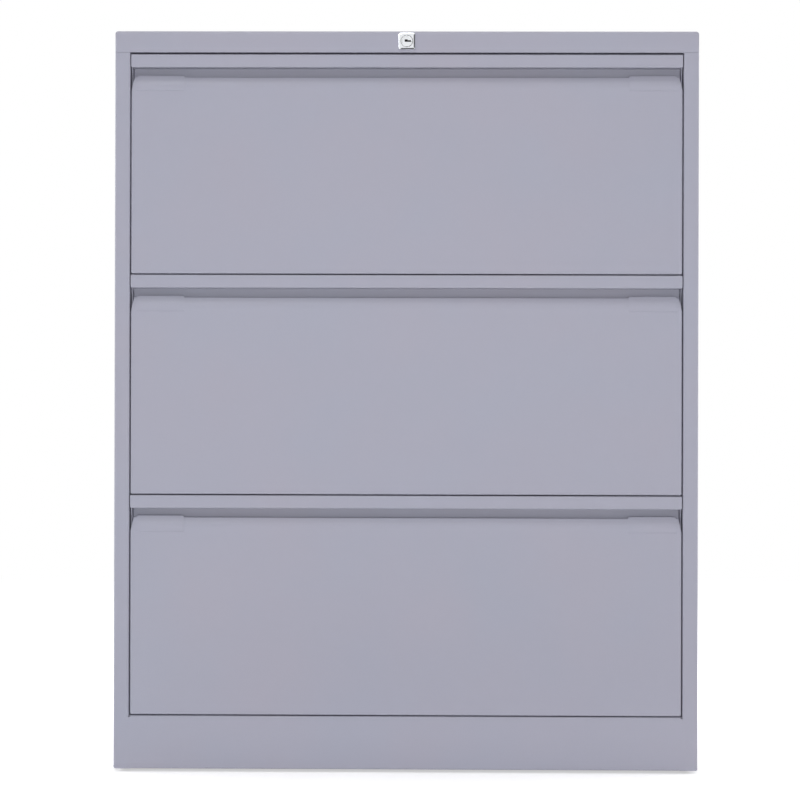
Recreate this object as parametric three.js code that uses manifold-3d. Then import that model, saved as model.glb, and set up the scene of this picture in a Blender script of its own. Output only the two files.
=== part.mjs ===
import * as THREE from 'three';
import { mergeVertices } from 'three/addons/utils/BufferGeometryUtils.js';
import Module from 'manifold-3d';

const wasm = await Module();
wasm.setup();

// A three-drawer lateral filing cabinet of folded steel sheet, in millimetres: X to the right, Y to the
// back, Z up, with the origin on the floor under the middle of the cabinet. The drawers open towards -Y.

// Overall size, and what every sheet piece shares
const WIDTH = 800;
const DEPTH = 470;
const HEIGHT = 1016;
const DRAWERS = 3;
const SHEET = 1; // gauge of the painted sheet
const BEND = 1.2; // inside radius of a fold
const SEAT = 0.3; // gap between two pieces that lie against each other
const BITE = 0.2; // how far a welded-on piece sinks into its panel
const CHORD = 0.08; // how far a flat facet may stray from a round

// Carcass
const FASCIA_HEIGHT = 29.6;
const FASCIA_RETURN = 15;
const TOP_RADIUS = 5; // outside radius along the top panel's edges
const TONGUE_REACH = 18; // the side panels' tongues stand this far up inside the top panel
const TONGUE_ROOT = 20; // and are welded to the wall over this height
const TONGUE_INSET = 30;
const STILE_WIDTH = 20.9;
const STILE_RETURN = 15;
const REAR_RETURN = 20;
const FOOT_RETURN = 9; // the side panels' return along their lower edge
const BACK_FLANGE = 12;
const PLINTH_HEIGHT = 72.9;
const PLINTH_RETURN = 28;
const PLINTH_SEAM = 0.1; // dressed weld between the plinth and a stile
const CORNER_RELIEF = 2;
const BASE_FLANGE = 25;

// Levelling feet and the shelves they screw into
const FOOT_REACH = 4; // the carcass stands this far off the floor
const SHELF_RISE = 12;
const SHELF_WIDTH = 42;
const SHELF_LEG = 20;
const FOOT_FROM_SIDE = 25;
const FOOT_FROM_FRONT = 50;
const FOOT_FROM_BACK = 30;
const FOOT_RADIUS = 14;
const FOOT_RIM = 5;
const FOOT_NECK = 7.5;
const STUD_RADIUS = 4;
const STUD_LENGTH = 40;
const STUD_CLEARANCE = 0.4;
const NUT_RADIUS = 7.5;
const NUT_HEIGHT = 7;

// Drawer fronts: gaps round them, the lip, the finger recess and the rolled top edge of the panel
const TOP_GAP = 2.4;
const FRONT_GAP = 1.4;
const SIDE_GAP = 1.4;
const LIP_GAP = 1.2;
const LIP_HEIGHT = 18.2;
const LIP_RETURN = 13;
const LIP_HEM = 5;
const LIP_CHAMFER = 1.5; // at the lower corners of the lip's ends
const RECESS_MOUTH = 12.4;
const RECESS_DEPTH = 28;
const ROLL_RADIUS = 2.8;
const ROLL_DEPTH = 9; // from the face of the front back to the middle of the roll
const ROLL_HEM = 8;
const LEAN = THREE.MathUtils.degToRad(36); // the panel leans back by this angle below its roll
const LEAN_RADIUS = 20;
const END_TAPER = 4; // the leaning part narrows by this much at each end
const FLOOR_LAP = 3; // the recess floor reaches this far in front of the roll's hem
const PANEL_LAP = 2; // overlap of the panel's flat part and its leaning part
const PLATE_WIDTH = 66;
const PLATE_INSET = 7.2;
const PLATE_GAUGE = 0.6;
const PLATE_CORNER = 3;
const PLATE_RISE = 2.7; // a corner plate's top stands this far above the roll
const PLATE_DROP = 32; // from the lip's lower edge down to a corner plate's lower edge

// Drawer bodies
const TRAY_FLOOR = 3; // underside of the tray above the front's lower edge
const TRAY_HEIGHT = 230;
const TRAY_HEM = 6;
const TRAY_HEM_DROP = 10;
const TRAY_REAR_GAP = 27;
const RAIL_HEIGHT = 262; // top of the file rails above the front's lower edge
const RAIL_EDGE = 16;
const RAIL_JOG = 9;
const WALL_FLANGE = 12;
const WALL_LAP = 3; // the tray reaches this far behind its back wall
const INNER_FRONT_INSET = 1;
const SLOT_PITCH = 48;
const SLOT_LENGTH = 36;
const SLOT_WIDTH = 3;
const SLOT_INSET = 46;

// Runners: three nested channels, with a strip of bearings at each race
const RUNNER_HEIGHT = 45;
const RUNNER_THICKNESS = 13;
const RUNNER_GAUGE = 1.2;
const RUNNER_LEVEL = 75; // middle of a runner above the front's lower edge
const RUNNER_SETBACK = 1.7;
const RUNNER_REAR_GAP = 35;
const OUTER_FLANGE = 10.5;
const OUTER_LIP = 2.6;
const MID_SETBACK = 3.2;
const MID_FLANGE = 8;
const INNER_FLANGE = 7.5;
const OUTER_BALL = 4.5;
const INNER_BALL = 4;
const BEARING_MARGIN = 12;
const SIDE_CLEARANCE = 15; // from the edge of the opening to the side of a tray

// Uprights that carry the runners
const UPRIGHT_GAUGE = 1.5;
const UPRIGHT_WIDTH = 40;
const UPRIGHT_FOOT = 12;
const UPRIGHT_SETBACK = 5;
const UPRIGHT_REAR_GAP = 50;
const LUG_WIDTH = 14;
const LUG_HEIGHT = 6;
const LUG_REACH = 3;
const LUG_CLEARANCE = 0.5;

// Lock and its linkage
const LOCK_FACE = 24;
const LOCK_CORNER = 3;
const LOCK_PROUD = 4.5;
const LOCK_EDGE = 2.5; // radius of the round edge of the housing's face
const BARREL_RADIUS = 10;
const BARREL_LENGTH = 22;
const BARREL_CLEARANCE = 0.4;
const CLIP_GAUGE = 1.2;
const CLIP_WALL = 1.6;
const CLIP_LEG = 9; // the clip's legs reach this far above the lock's middle
const CLIP_GROOVE = 0.8; // depth of the barrel's groove for the clip
const PLUG_RADIUS = 8;
const PLUG_CLEARANCE = 0.3;
const PLUG_TAIL = 4;
const KEYWAY_LEFT = 3;
const KEYWAY_RIGHT = 6;
const KEYWAY_HEIGHT = 2.2;
const KEYWAY_STEP = 1.2;
const KEYWAY_DEPTH = 12;
const CAM_THROW = 7; // from the lock's middle to the middle of the cam's pin
const CAM_TURN = Math.PI / 2;
const CAM_HUB = 6.5;
const CAM_TIP = 3.5;
const CAM_GAUGE = 2.5;
const CAM_GAP = 0.5;
const PIN_RADIUS = 1.75;
const PIN_PLAY = 0.5;
const LOCK_SETBACK = 1.7;
const LINK_GAUGE = 2;
const LINK_WALL = 2.5;
const LINK_HEADROOM = 2;
const BAR_GAUGE = 3;
const BAR_WIDTH = 12;
const BAR_INSET = 5; // from the inside of the side panel to the bar
const BAR_PIN_RADIUS = 2.5;
const BAR_PIN_OFFSET = 11; // from the bar's middle in to its pin
const BAR_TAIL = 70; // the bar runs on this far below its lowest hook
const HOOK_HEIGHT = 8;
const HOOK_REACH = 13;
const HOOK_CHAMFER = 3;
const HOOK_PLAY = 3; // between an unlocked hook and its catch
const CATCH_LEVEL = 150; // lower edge of a catch above the front's lower edge
const CATCH_HEIGHT = 12;
const CATCH_REACH = 11;
const CATCH_GAUGE = 2;
const CATCH_PLAY = 2;
const GUIDE_WIDTH = 16;

// Planes and sizes that several pieces share
const sideX = WIDTH / 2;
const frontY = -DEPTH / 2;
const backY = DEPTH / 2;
const wallX = sideX - SHEET - SEAT;
const openingHalf = sideX - STILE_WIDTH;
const skirtBottom = HEIGHT - FASCIA_HEIGHT;
const carcassTop = skirtBottom - SEAT;
const plinthTop = FOOT_REACH + PLINTH_HEIGHT;
const baseTop = plinthTop - SHEET - SEAT;
const shelfBottom = FOOT_REACH + SHELF_RISE;
const backPanelRear = backY - SHEET - SEAT;
const backPanelFront = backPanelRear - SHEET;
const frontPitch = (skirtBottom - TOP_GAP - plinthTop) / DRAWERS;
const frontHeight = frontPitch - FRONT_GAP;
const frontHalf = openingHalf - SIDE_GAP;
const recessBack = frontY + RECESS_DEPTH + SHEET; // rear face of the recess's back wall
const innerFrontFace = recessBack + SEAT;
const trayHalf = openingHalf - SIDE_CLEARANCE;
const trayFront = innerFrontFace + SHEET + SEAT;
const trayBack = backPanelFront - TRAY_REAR_GAP;
const runnerFront = innerFrontFace + SHEET + RUNNER_SETBACK;
const runnerBack = backPanelFront - RUNNER_REAR_GAP;
const runnerInnerX = trayHalf + SEAT;
const runnerOuterX = runnerInnerX + RUNNER_THICKNESS;
const lockZ = HEIGHT - FASCIA_HEIGHT / 2;
const linkFront = innerFrontFace + SHEET + LOCK_SETBACK;
const linkBack = linkFront + LINK_GAUGE;
const barFront = linkBack + SEAT;
const barBack = barFront + BAR_GAUGE;
const barOuterX = wallX - BAR_INSET;
const barInnerX = barOuterX - BAR_WIDTH;
const linkTravel = 2 * CAM_THROW * Math.sin(CAM_TURN / 2);
const uprightFrontY = barBack + UPRIGHT_SETBACK + UPRIGHT_FOOT + UPRIGHT_WIDTH / 2;
const uprightRearY = backPanelFront - UPRIGHT_REAR_GAP - UPRIGHT_FOOT - UPRIGHT_WIDTH / 2;

const drawerLevel = (number) => plinthTop + FRONT_GAP + (DRAWERS - number) * frontPitch;
const drawerNumbers = Array.from({ length: DRAWERS }, (_, index) => index + 1);

// Finishes
const PAINT = { color: 0xa8a8b7, roughness: 0.5, metalness: 0.1 };
const ZINC = { color: 0xb9bcc2, roughness: 0.35, metalness: 0.9 };
const CHROME = { color: 0xd4d6da, roughness: 0.12, metalness: 1 };
const NYLON = { color: 0x1d1d1f, roughness: 0.6, metalness: 0 };

// The closed mesh of a geometry as a solid, and back again
function solid(geometry) {
  const bare = geometry.clone();
  bare.deleteAttribute('normal');
  bare.deleteAttribute('uv');
  const merged = mergeVertices(bare);
  const vertProperties = merged.getAttribute('position').array;
  const triVerts = new Uint32Array(merged.index.array);
  return new wasm.Manifold(new wasm.Mesh({ numProp: 3, vertProperties, triVerts }));
}

function surface(body) {
  const { vertProperties, triVerts } = body.getMesh();
  const geometry = new THREE.BufferGeometry();
  geometry.setAttribute('position', new THREE.BufferAttribute(vertProperties, 3));
  geometry.setIndex(new THREE.BufferAttribute(triVerts, 1));
  return geometry;
}

function join(...geometries) {
  return surface(geometries.map(solid).reduce((whole, next) => whole.add(next)));
}

function cut(geometry, ...tools) {
  return surface(tools.map(solid).reduce((whole, next) => whole.subtract(next), solid(geometry)));
}

function common(...geometries) {
  return surface(geometries.map(solid).reduce((whole, next) => whole.intersect(next)));
}

function piece(name, geometry, finish) {
  const mesh = new THREE.Mesh(geometry, new THREE.MeshStandardMaterial({ ...finish, flatShading: true }));
  mesh.name = name;
  return mesh;
}

// An outline carried along one axis: along X its plane is (Y, Z), along Y it is (X, Z), along Z it is (X, Y)
function prism(outline, axis, from, to) {
  const geometry = new THREE.ExtrudeGeometry(outline, { depth: to - from, bevelEnabled: false });
  const [x, y, z] = [new THREE.Vector3(1, 0, 0), new THREE.Vector3(0, 1, 0), new THREE.Vector3(0, 0, 1)];
  if (axis === 'x') {
    geometry.applyMatrix4(new THREE.Matrix4().makeBasis(y, z, x));
    return geometry.translate(from, 0, 0);
  }
  if (axis === 'y') {
    geometry.applyMatrix4(new THREE.Matrix4().makeBasis(x, z, y.negate()));
    return geometry.translate(0, to, 0);
  }
  return geometry.translate(0, 0, from);
}

function block([x0, x1], [y0, y1], [z0, z1]) {
  const geometry = new THREE.BoxGeometry(x1 - x0, y1 - y0, z1 - z0);
  return geometry.translate((x0 + x1) / 2, (y0 + y1) / 2, (z0 + z1) / 2);
}

// Points on an arc, close enough together for the facets to keep to the round
function arc(u, v, radius, start, end) {
  const facet = 2 * Math.acos(1 - CHORD / Math.max(radius, 2 * CHORD));
  const steps = Math.max(1, Math.ceil(Math.abs(end - start) / facet));
  return Array.from({ length: steps + 1 }, (_, index) => {
    const angle = start + ((end - start) * index) / steps;
    return new THREE.Vector2(u + radius * Math.cos(angle), v + radius * Math.sin(angle));
  });
}

const circle = (u, v, radius) => new THREE.Shape(arc(u, v, radius, 0, 2 * Math.PI).slice(1));
const polygon = (...corners) => new THREE.Shape(corners.map(([u, v]) => new THREE.Vector2(u, v)));

// A slot with round ends between two points
function slot([u0, v0], [u1, v1], radius) {
  const along = Math.atan2(v1 - v0, u1 - u0);
  const quarter = Math.PI / 2;
  const farEnd = arc(u1, v1, radius, along - quarter, along + quarter);
  return new THREE.Shape([...farEnd, ...arc(u0, v0, radius, along + quarter, along + 3 * quarter)]);
}

// A rectangle with round corners: the first radius at the lower two, the second at the upper two
function roundedRectangle([u0, u1], [v0, v1], lower, upper) {
  const quarter = Math.PI / 2;
  const corner = (u, v, radius, start) => (radius > 0 ? arc(u, v, radius, start, start + quarter) : []);
  const square = (u, v, radius) => (radius > 0 ? [] : [new THREE.Vector2(u, v)]);
  return new THREE.Shape([
    ...square(u0, v0, lower),
    ...corner(u0 + lower, v0 + lower, lower, 2 * quarter),
    ...square(u1, v0, lower),
    ...corner(u1 - lower, v0 + lower, lower, 3 * quarter),
    ...square(u1, v1, upper),
    ...corner(u1 - upper, v1 - upper, upper, 0),
    ...square(u0, v1, upper),
    ...corner(u0 + upper, v1 - upper, upper, quarter),
  ]);
}

// The outline of a folded strip of sheet. The corners, [u, v] or [u, v, inside radius], run along one face,
// and the metal lies to the left of them. A radius is limited by the walls that it joins.
function foldedSheet(corners, gauge = SHEET) {
  const points = corners.map(([u, v]) => new THREE.Vector2(u, v));
  const last = points.length - 1;
  const runs = points.slice(1).map((point, index) => point.clone().sub(points[index]));
  const normals = runs.map((run) => new THREE.Vector2(-run.y, run.x).normalize());
  const near = [points[0]];
  for (let i = 1; i < last; i++) {
    const turn = Math.atan2(normals[i - 1].cross(normals[i]), normals[i - 1].dot(normals[i]));
    const side = Math.sign(turn);
    const roomBefore = runs[i - 1].length() / (i === 1 ? 1 : 2);
    const roomAfter = runs[i].length() / (i === last - 1 ? 1 : 2);
    const limit = Math.min(roomBefore, roomAfter) / Math.tan(Math.abs(turn) / 2);
    const outside = side > 0 ? gauge : 0;
    const radius = outside + Math.max(Math.min(corners[i][2] ?? BEND, limit - outside), CHORD);
    const [before, after] = [normals[i - 1], normals[i]];
    const bisector = before.clone().add(after).divideScalar(1 + before.dot(after));
    const centre = points[i].clone().addScaledVector(bisector, side * radius);
    const start = normals[i - 1].angle() + (side > 0 ? Math.PI : 0);
    near.push(...arc(centre.x, centre.y, radius, start, start + turn));
  }
  near.push(points[last]);
  return new THREE.Shape([...near, ...offsetFace(near, gauge).reverse()]);
}

// The other face of a sheet whose first face runs through these points
function offsetFace(face, gauge) {
  const leftOf = (from, to) => new THREE.Vector2(from.y - to.y, to.x - from.x).normalize();
  return face.map((point, index) => {
    const before = leftOf(face[Math.max(index - 1, 0)], face[Math.max(index, 1)]);
    const last = face.length - 1;
    const after = leftOf(face[Math.min(index, last - 1)], face[Math.min(index + 1, last)]);
    const mitre = before.clone().add(after).divideScalar(1 + before.dot(after));
    return point.clone().addScaledVector(mitre, gauge);
  });
}

// Top panel: a folded cap with its upper edges rounded, whose front skirt is the fascia over the drawers
function topPanel() {
  const cap = (inset, bottom) => {
    const radius = TOP_RADIUS - inset;
    const across = [-sideX + inset, sideX - inset];
    const along = [frontY + inset, backY - inset];
    const upright = [bottom, HEIGHT - inset];
    return common(
      prism(roundedRectangle(across, upright, 0, radius), 'y', ...along),
      prism(roundedRectangle(along, upright, 0, radius), 'x', ...across),
      prism(roundedRectangle(across, along, SHEET + BEND - inset, SHEET + BEND - inset), 'z', ...upright),
    );
  };
  const fasciaReturn = block(
    [-openingHalf, openingHalf],
    [frontY + SHEET / 2, frontY + FASCIA_RETURN],
    [skirtBottom, skirtBottom + SHEET],
  );
  const lockBore = circle(0, lockZ, BARREL_RADIUS + BARREL_CLEARANCE);
  const lockHole = prism(lockBore, 'y', frontY - SHEET, frontY + 2 * SHEET);
  const shell = cut(cap(0, skirtBottom), cap(SHEET, skirtBottom - SHEET));
  const linkRun = barInnerX / 3;
  return cut(join(shell, fasciaReturn, linkGuide(linkRun), linkGuide(2 * linkRun)), lockHole);
}

// The lock link's vertical slot takes the cam's pin, and its slanted slot lifts the lock bar's pin
const camPinLeft = -CAM_THROW * Math.sin(CAM_TURN / 2);
const camPinLow = lockZ + CAM_THROW * Math.cos(CAM_TURN / 2);
const camPinHigh = lockZ + CAM_THROW;
const camSlotRadius = PIN_RADIUS + PIN_PLAY;
const linkTop = HEIGHT - SHEET - LINK_HEADROOM;
const linkBottom = camPinLow - camSlotRadius - LINK_WALL;
const barPinX = barOuterX - BAR_WIDTH / 2 - BAR_PIN_OFFSET;
const barSlotRadius = BAR_PIN_RADIUS + SEAT;
const barPinZ = linkTop - LINK_WALL - barSlotRadius - linkTravel;

// A tightly folded strap under the top panel that the link slides in
function linkGuide(x) {
  const bottom = linkBottom - SEAT - SHEET;
  const top = HEIGHT - SHEET + BITE;
  const front = linkFront - SEAT - SHEET;
  const back = linkBack + SEAT + SHEET;
  const strap = foldedSheet([[front, top], [front, bottom, SEAT], [back, bottom, SEAT], [back, top]]);
  return prism(strap, 'x', x - GUIDE_WIDTH / 2, x + GUIDE_WIDTH / 2);
}

// Side panel, right hand: one sheet folded into the rear return, the wall, the stile and the stile's return,
// with a return along its foot, a tongue for the top panel and a shelf for the feet
function sidePanel() {
  const plan = foldedSheet([
    [openingHalf, frontY + STILE_RETURN],
    [openingHalf, frontY],
    [sideX, frontY],
    [sideX, backY],
    [sideX - REAR_RETURN, backY],
  ]);
  const bend = SHEET + BEND;
  const trimmed = prism(
    roundedRectangle([openingHalf - 2 * bend, sideX], [FOOT_REACH, carcassTop + SHEET], bend, 0),
    'y',
    frontY - SHEET,
    backY + SHEET,
  );
  const wall = common(prism(plan, 'z', FOOT_REACH, carcassTop), trimmed);
  const footSection = foldedSheet([
    [sideX - FOOT_RETURN, FOOT_REACH],
    [sideX, FOOT_REACH],
    [sideX, FOOT_REACH + 2 * bend],
  ]);
  const footReturn = prism(footSection, 'y', frontY + SHEET / 2, backPanelRear - BACK_FLANGE - SEAT);

  const weld = sideX - SHEET + BITE;
  const tongueSection = polygon(
    [wallX - SHEET, carcassTop - TONGUE_ROOT],
    [weld, carcassTop - TONGUE_ROOT],
    [weld, carcassTop - SHEET],
    [wallX, carcassTop - SHEET],
    [wallX, carcassTop + TONGUE_REACH],
    [wallX - SHEET, carcassTop + TONGUE_REACH],
  );
  const tongue = prism(tongueSection, 'y', frontY + TONGUE_INSET, backY - TONGUE_INSET);

  const shelfSection = foldedSheet([
    [sideX - SHELF_WIDTH, shelfBottom],
    [weld, shelfBottom],
    [weld, shelfBottom + SHELF_LEG],
  ]);
  const shelfBack = backPanelFront - SEAT - BACK_FLANGE;
  const shelf = prism(shelfSection, 'y', frontY + PLINTH_RETURN + SEAT, shelfBack);
  const nuts = footSpots().map(([x, y]) => {
    const nut = new THREE.CylinderGeometry(NUT_RADIUS, NUT_RADIUS, NUT_HEIGHT + BITE, 6);
    const middle = shelfBottom + SHEET - BITE + (NUT_HEIGHT + BITE) / 2;
    return nut.rotateX(Math.PI / 2).translate(x, y, middle);
  });
  const holes = footSpots().map(([x, y]) => {
    const bore = circle(x, y, STUD_RADIUS + STUD_CLEARANCE);
    return prism(bore, 'z', shelfBottom - SHEET, shelfBottom + NUT_HEIGHT + 2 * SHEET);
  });
  return cut(join(wall, footReturn, tongue, shelf, ...nuts), ...holes);
}

// Where the right-hand feet stand
function footSpots() {
  return [
    [sideX - FOOT_FROM_SIDE, frontY + FOOT_FROM_FRONT],
    [sideX - FOOT_FROM_SIDE, backY - FOOT_FROM_BACK],
  ];
}

// A tightly folded strap on the right side panel that the lock bar slides in
function barGuide(z) {
  const weld = sideX - SHEET + BITE;
  const inner = barInnerX - SEAT - SHEET;
  const front = barFront - SEAT - SHEET;
  const back = barBack + SEAT + SHEET;
  const strap = foldedSheet([[weld, back], [inner, back, SEAT], [inner, front, SEAT], [weld, front]]);
  return prism(strap, 'z', z - GUIDE_WIDTH / 2, z + GUIDE_WIDTH / 2);
}

// Back panel: a sheet behind the drawers, inside the rear returns, with a flange at its top and bottom
function backPanel() {
  const section = foldedSheet([
    [backPanelRear - BACK_FLANGE, FOOT_REACH],
    [backPanelRear, FOOT_REACH],
    [backPanelRear, carcassTop],
    [backPanelRear - BACK_FLANGE, carcassTop],
  ]);
  const half = wallX - SHEET - BEND;
  return prism(section, 'x', -half, half);
}

// Base panel: a sheet under the lowest drawer with a flange down each side wall
function basePanel() {
  const section = foldedSheet([
    [wallX, baseTop - BASE_FLANGE],
    [wallX, baseTop],
    [-wallX, baseTop],
    [-wallX, baseTop - BASE_FLANGE],
  ]);
  return prism(section, 'y', frontY + STILE_RETURN + SEAT, backPanelFront - SEAT - BEND);
}

// Plinth: a channel across the foot of the front, with its top corners relieved where they meet the stiles
function plinth() {
  const half = openingHalf - PLINTH_SEAM;
  const section = foldedSheet([
    [frontY + PLINTH_RETURN, plinthTop],
    [frontY, plinthTop],
    [frontY, FOOT_REACH],
    [frontY + PLINTH_RETURN, FOOT_REACH],
  ]);
  const reliefs = [-half, half].map((x) =>
    block(
      [x - CORNER_RELIEF, x + CORNER_RELIEF],
      [frontY - SHEET, frontY + 2 * (SHEET + BEND)],
      [plinthTop - CORNER_RELIEF, plinthTop + SHEET],
    ),
  );
  return cut(prism(section, 'x', -half, half), ...reliefs);
}

// Upright, right hand: a hat section on the side wall, with a hole for the lug of each runner
function upright(y) {
  const web = runnerOuterX + SEAT + UPRIGHT_GAUGE;
  const half = UPRIGHT_WIDTH / 2;
  const plan = foldedSheet(
    [
      [wallX, y - half - UPRIGHT_FOOT],
      [wallX, y - half],
      [web, y - half],
      [web, y + half],
      [wallX, y + half],
      [wallX, y + half + UPRIGHT_FOOT],
    ],
    UPRIGHT_GAUGE,
  );
  const holes = drawerNumbers.map((number) => {
    const z = drawerLevel(number) + RUNNER_LEVEL;
    const halfWidth = LUG_WIDTH / 2 + LUG_CLEARANCE;
    const halfHeight = LUG_HEIGHT / 2 + LUG_CLEARANCE;
    return block(
      [runnerOuterX, web + UPRIGHT_GAUGE],
      [y - halfWidth, y + halfWidth],
      [z - halfHeight, z + halfHeight],
    );
  });
  return cut(prism(plan, 'z', baseTop + SEAT, carcassTop - TONGUE_ROOT - SEAT), ...holes);
}

// Runner members, right hand, about the middle of their height. The outer one is a lipped channel that hangs
// on the uprights by its lugs, the middle one carries the bearings, and the inner one is fixed to the tray.
const outerHalf = RUNNER_HEIGHT / 2;
const midHalf = outerHalf - RUNNER_GAUGE - OUTER_BALL;
const innerHalf = midHalf - RUNNER_GAUGE - INNER_BALL;
const midX = runnerOuterX - MID_SETBACK;

function outerRunner() {
  const lipX = runnerOuterX - OUTER_FLANGE;
  const section = foldedSheet(
    [
      [lipX, OUTER_LIP - outerHalf],
      [lipX, -outerHalf],
      [runnerOuterX, -outerHalf],
      [runnerOuterX, outerHalf],
      [lipX, outerHalf],
      [lipX, outerHalf - OUTER_LIP],
    ],
    RUNNER_GAUGE,
  );
  const lugs = [uprightFrontY, uprightRearY].map((y) =>
    block(
      [runnerOuterX - RUNNER_GAUGE / 2, runnerOuterX + SEAT + UPRIGHT_GAUGE + LUG_REACH],
      [y - LUG_WIDTH / 2, y + LUG_WIDTH / 2],
      [-LUG_HEIGHT / 2, LUG_HEIGHT / 2],
    ),
  );
  return join(prism(section, 'y', runnerFront, runnerBack), ...lugs);
}

function midRunner() {
  const section = foldedSheet(
    [
      [midX - MID_FLANGE, -midHalf],
      [midX, -midHalf],
      [midX, midHalf],
      [midX - MID_FLANGE, midHalf],
    ],
    RUNNER_GAUGE,
  );
  // Bearings between the outer and middle members lie in the rear half, and those inside it in the front
  // half, so that both stay engaged when the runner is drawn out.
  const halfway = (runnerFront + runnerBack) / 2;
  const strip = (ball, face, outwards, from, to) => {
    const radius = (ball - SEAT + BITE) / 2;
    const z = face + outwards * (radius - BITE);
    return [-z, z].map((level) => prism(circle(midX - MID_FLANGE / 2, level, radius), 'y', from, to));
  };
  return join(
    prism(section, 'y', runnerFront, runnerBack),
    ...strip(OUTER_BALL, midHalf, 1, halfway, runnerBack - BEARING_MARGIN),
    ...strip(INNER_BALL, midHalf - RUNNER_GAUGE, -1, runnerFront + BEARING_MARGIN, halfway),
  );
}

function innerRunner() {
  const section = foldedSheet(
    [
      [runnerInnerX + INNER_FLANGE, innerHalf],
      [runnerInnerX, innerHalf],
      [runnerInnerX, -innerHalf],
      [runnerInnerX + INNER_FLANGE, -innerHalf],
    ],
    RUNNER_GAUGE,
  );
  return prism(section, 'y', runnerFront, runnerBack);
}

// Levelling foot: a pad with a rim, a neck that stops under its shelf, and a stud up through the nut
function foot() {
  const shoulder = shelfBottom - SEAT;
  const profile = [
    [0, 0],
    [FOOT_RADIUS, 0],
    [FOOT_RADIUS, FOOT_RIM],
    [FOOT_NECK, (FOOT_RIM + shoulder) / 2],
    [FOOT_NECK, shoulder],
    [STUD_RADIUS, shoulder],
    [STUD_RADIUS, shoulder + STUD_LENGTH],
    [0, shoulder + STUD_LENGTH],
  ];
  const facets = arc(0, 0, FOOT_RADIUS, 0, 2 * Math.PI).length - 1;
  const points = profile.map(([radius, z]) => new THREE.Vector2(radius, z));
  return new THREE.LatheGeometry(points, facets).rotateX(Math.PI / 2);
}

// The rolled top edge that the front panel and its corner plates share. From the hem behind the roll it goes
// up, over the roll, down the slope and round onto the face. Slope and face stand off by the given distance.
const rollTop = frontHeight - LIP_HEIGHT - RECESS_MOUTH;
const hemBottom = rollTop - ROLL_RADIUS - ROLL_HEM;

function rolledEdge(standOff, rise, bottom, gauge) {
  const face = frontY - standOff;
  const centreZ = rollTop + rise - ROLL_RADIUS;
  const centreY = frontY + ROLL_DEPTH + (rise * Math.sin(LEAN) - standOff) / Math.cos(LEAN);
  const hem = centreY + ROLL_RADIUS;
  const touchY = centreY - ROLL_RADIUS * Math.cos(LEAN);
  const touchZ = centreZ + ROLL_RADIUS * Math.sin(LEAN);
  const slopeAt = (y) => touchZ + (y - touchY) / Math.tan(LEAN);
  return foldedSheet(
    [
      [hem, hemBottom],
      [hem, slopeAt(hem), ROLL_RADIUS - gauge],
      [face, slopeAt(face), LEAN_RADIUS + standOff - gauge],
      [face, bottom],
    ],
    gauge,
  );
}

const leanBottom = (() => {
  const touchY = ROLL_DEPTH - ROLL_RADIUS * Math.cos(LEAN);
  const touchZ = rollTop - ROLL_RADIUS + ROLL_RADIUS * Math.sin(LEAN);
  return touchZ - touchY / Math.tan(LEAN) - LEAN_RADIUS * Math.tan(LEAN / 2);
})();

// Front panel: a pan with side and bottom returns, carried on upwards into the leaning, rolled edge
function frontPanel() {
  const plan = foldedSheet([
    [-frontHalf, recessBack],
    [-frontHalf, frontY],
    [frontHalf, frontY],
    [frontHalf, recessBack],
  ]);
  const panTop = leanBottom - PANEL_LAP;
  const pan = prism(plan, 'z', 0, panTop);
  const bottomReturn = prism(
    foldedSheet([
      [frontY, 2 * (SHEET + BEND)],
      [frontY, 0],
      [recessBack, 0],
    ]),
    'x',
    -frontHalf + SHEET / 2,
    frontHalf - SHEET / 2,
  );
  const rounded = prism(
    roundedRectangle([frontY, recessBack + SHEET], [0, panTop + SHEET], SHEET + BEND, 0),
    'x',
    -frontHalf - SHEET,
    frontHalf + SHEET,
  );
  const edge = prism(rolledEdge(0, 0, panTop - PANEL_LAP, SHEET), 'x', -frontHalf, frontHalf);
  const bendInset = SHEET + BEND;
  const taper = prism(
    polygon(
      [-frontHalf + bendInset, panTop - 2 * PANEL_LAP],
      [frontHalf - bendInset, panTop - 2 * PANEL_LAP],
      [frontHalf - bendInset, panTop],
      [frontHalf, panTop],
      [frontHalf - END_TAPER, rollTop + SHEET],
      [-frontHalf + END_TAPER, rollTop + SHEET],
      [-frontHalf, panTop],
      [-frontHalf + bendInset, panTop],
    ),
    'y',
    frontY - SHEET,
    recessBack,
  );
  return join(common(join(pan, bottomReturn), rounded), common(edge, taper));
}

// Handle rail: one folded strip that makes the recess's floor and back wall, the top, the lip and its hem
function handleRail() {
  const floor = hemBottom - SEAT - SHEET;
  const lipBottom = frontHeight - LIP_HEIGHT;
  const section = foldedSheet([
    [frontY + ROLL_DEPTH + ROLL_RADIUS - SHEET - FLOOR_LAP, floor],
    [recessBack, floor],
    [recessBack, frontHeight],
    [frontY, frontHeight],
    [frontY, lipBottom],
    [frontY + LIP_RETURN, lipBottom],
    [frontY + LIP_RETURN, lipBottom + LIP_HEM],
  ]);
  const half = openingHalf - LIP_GAP;
  const chamfers = [-1, 1].map((side) =>
    prism(
      polygon(
        [side * (half + LIP_CHAMFER), lipBottom - LIP_CHAMFER],
        [side * (half + LIP_CHAMFER), lipBottom + 2 * LIP_CHAMFER],
        [side * (half - 2 * LIP_CHAMFER), lipBottom - LIP_CHAMFER],
      ),
      'y',
      frontY - SHEET,
      frontY + LIP_RETURN + SHEET,
    ),
  );
  return cut(prism(section, 'x', -half, half), ...chamfers);
}

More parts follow.
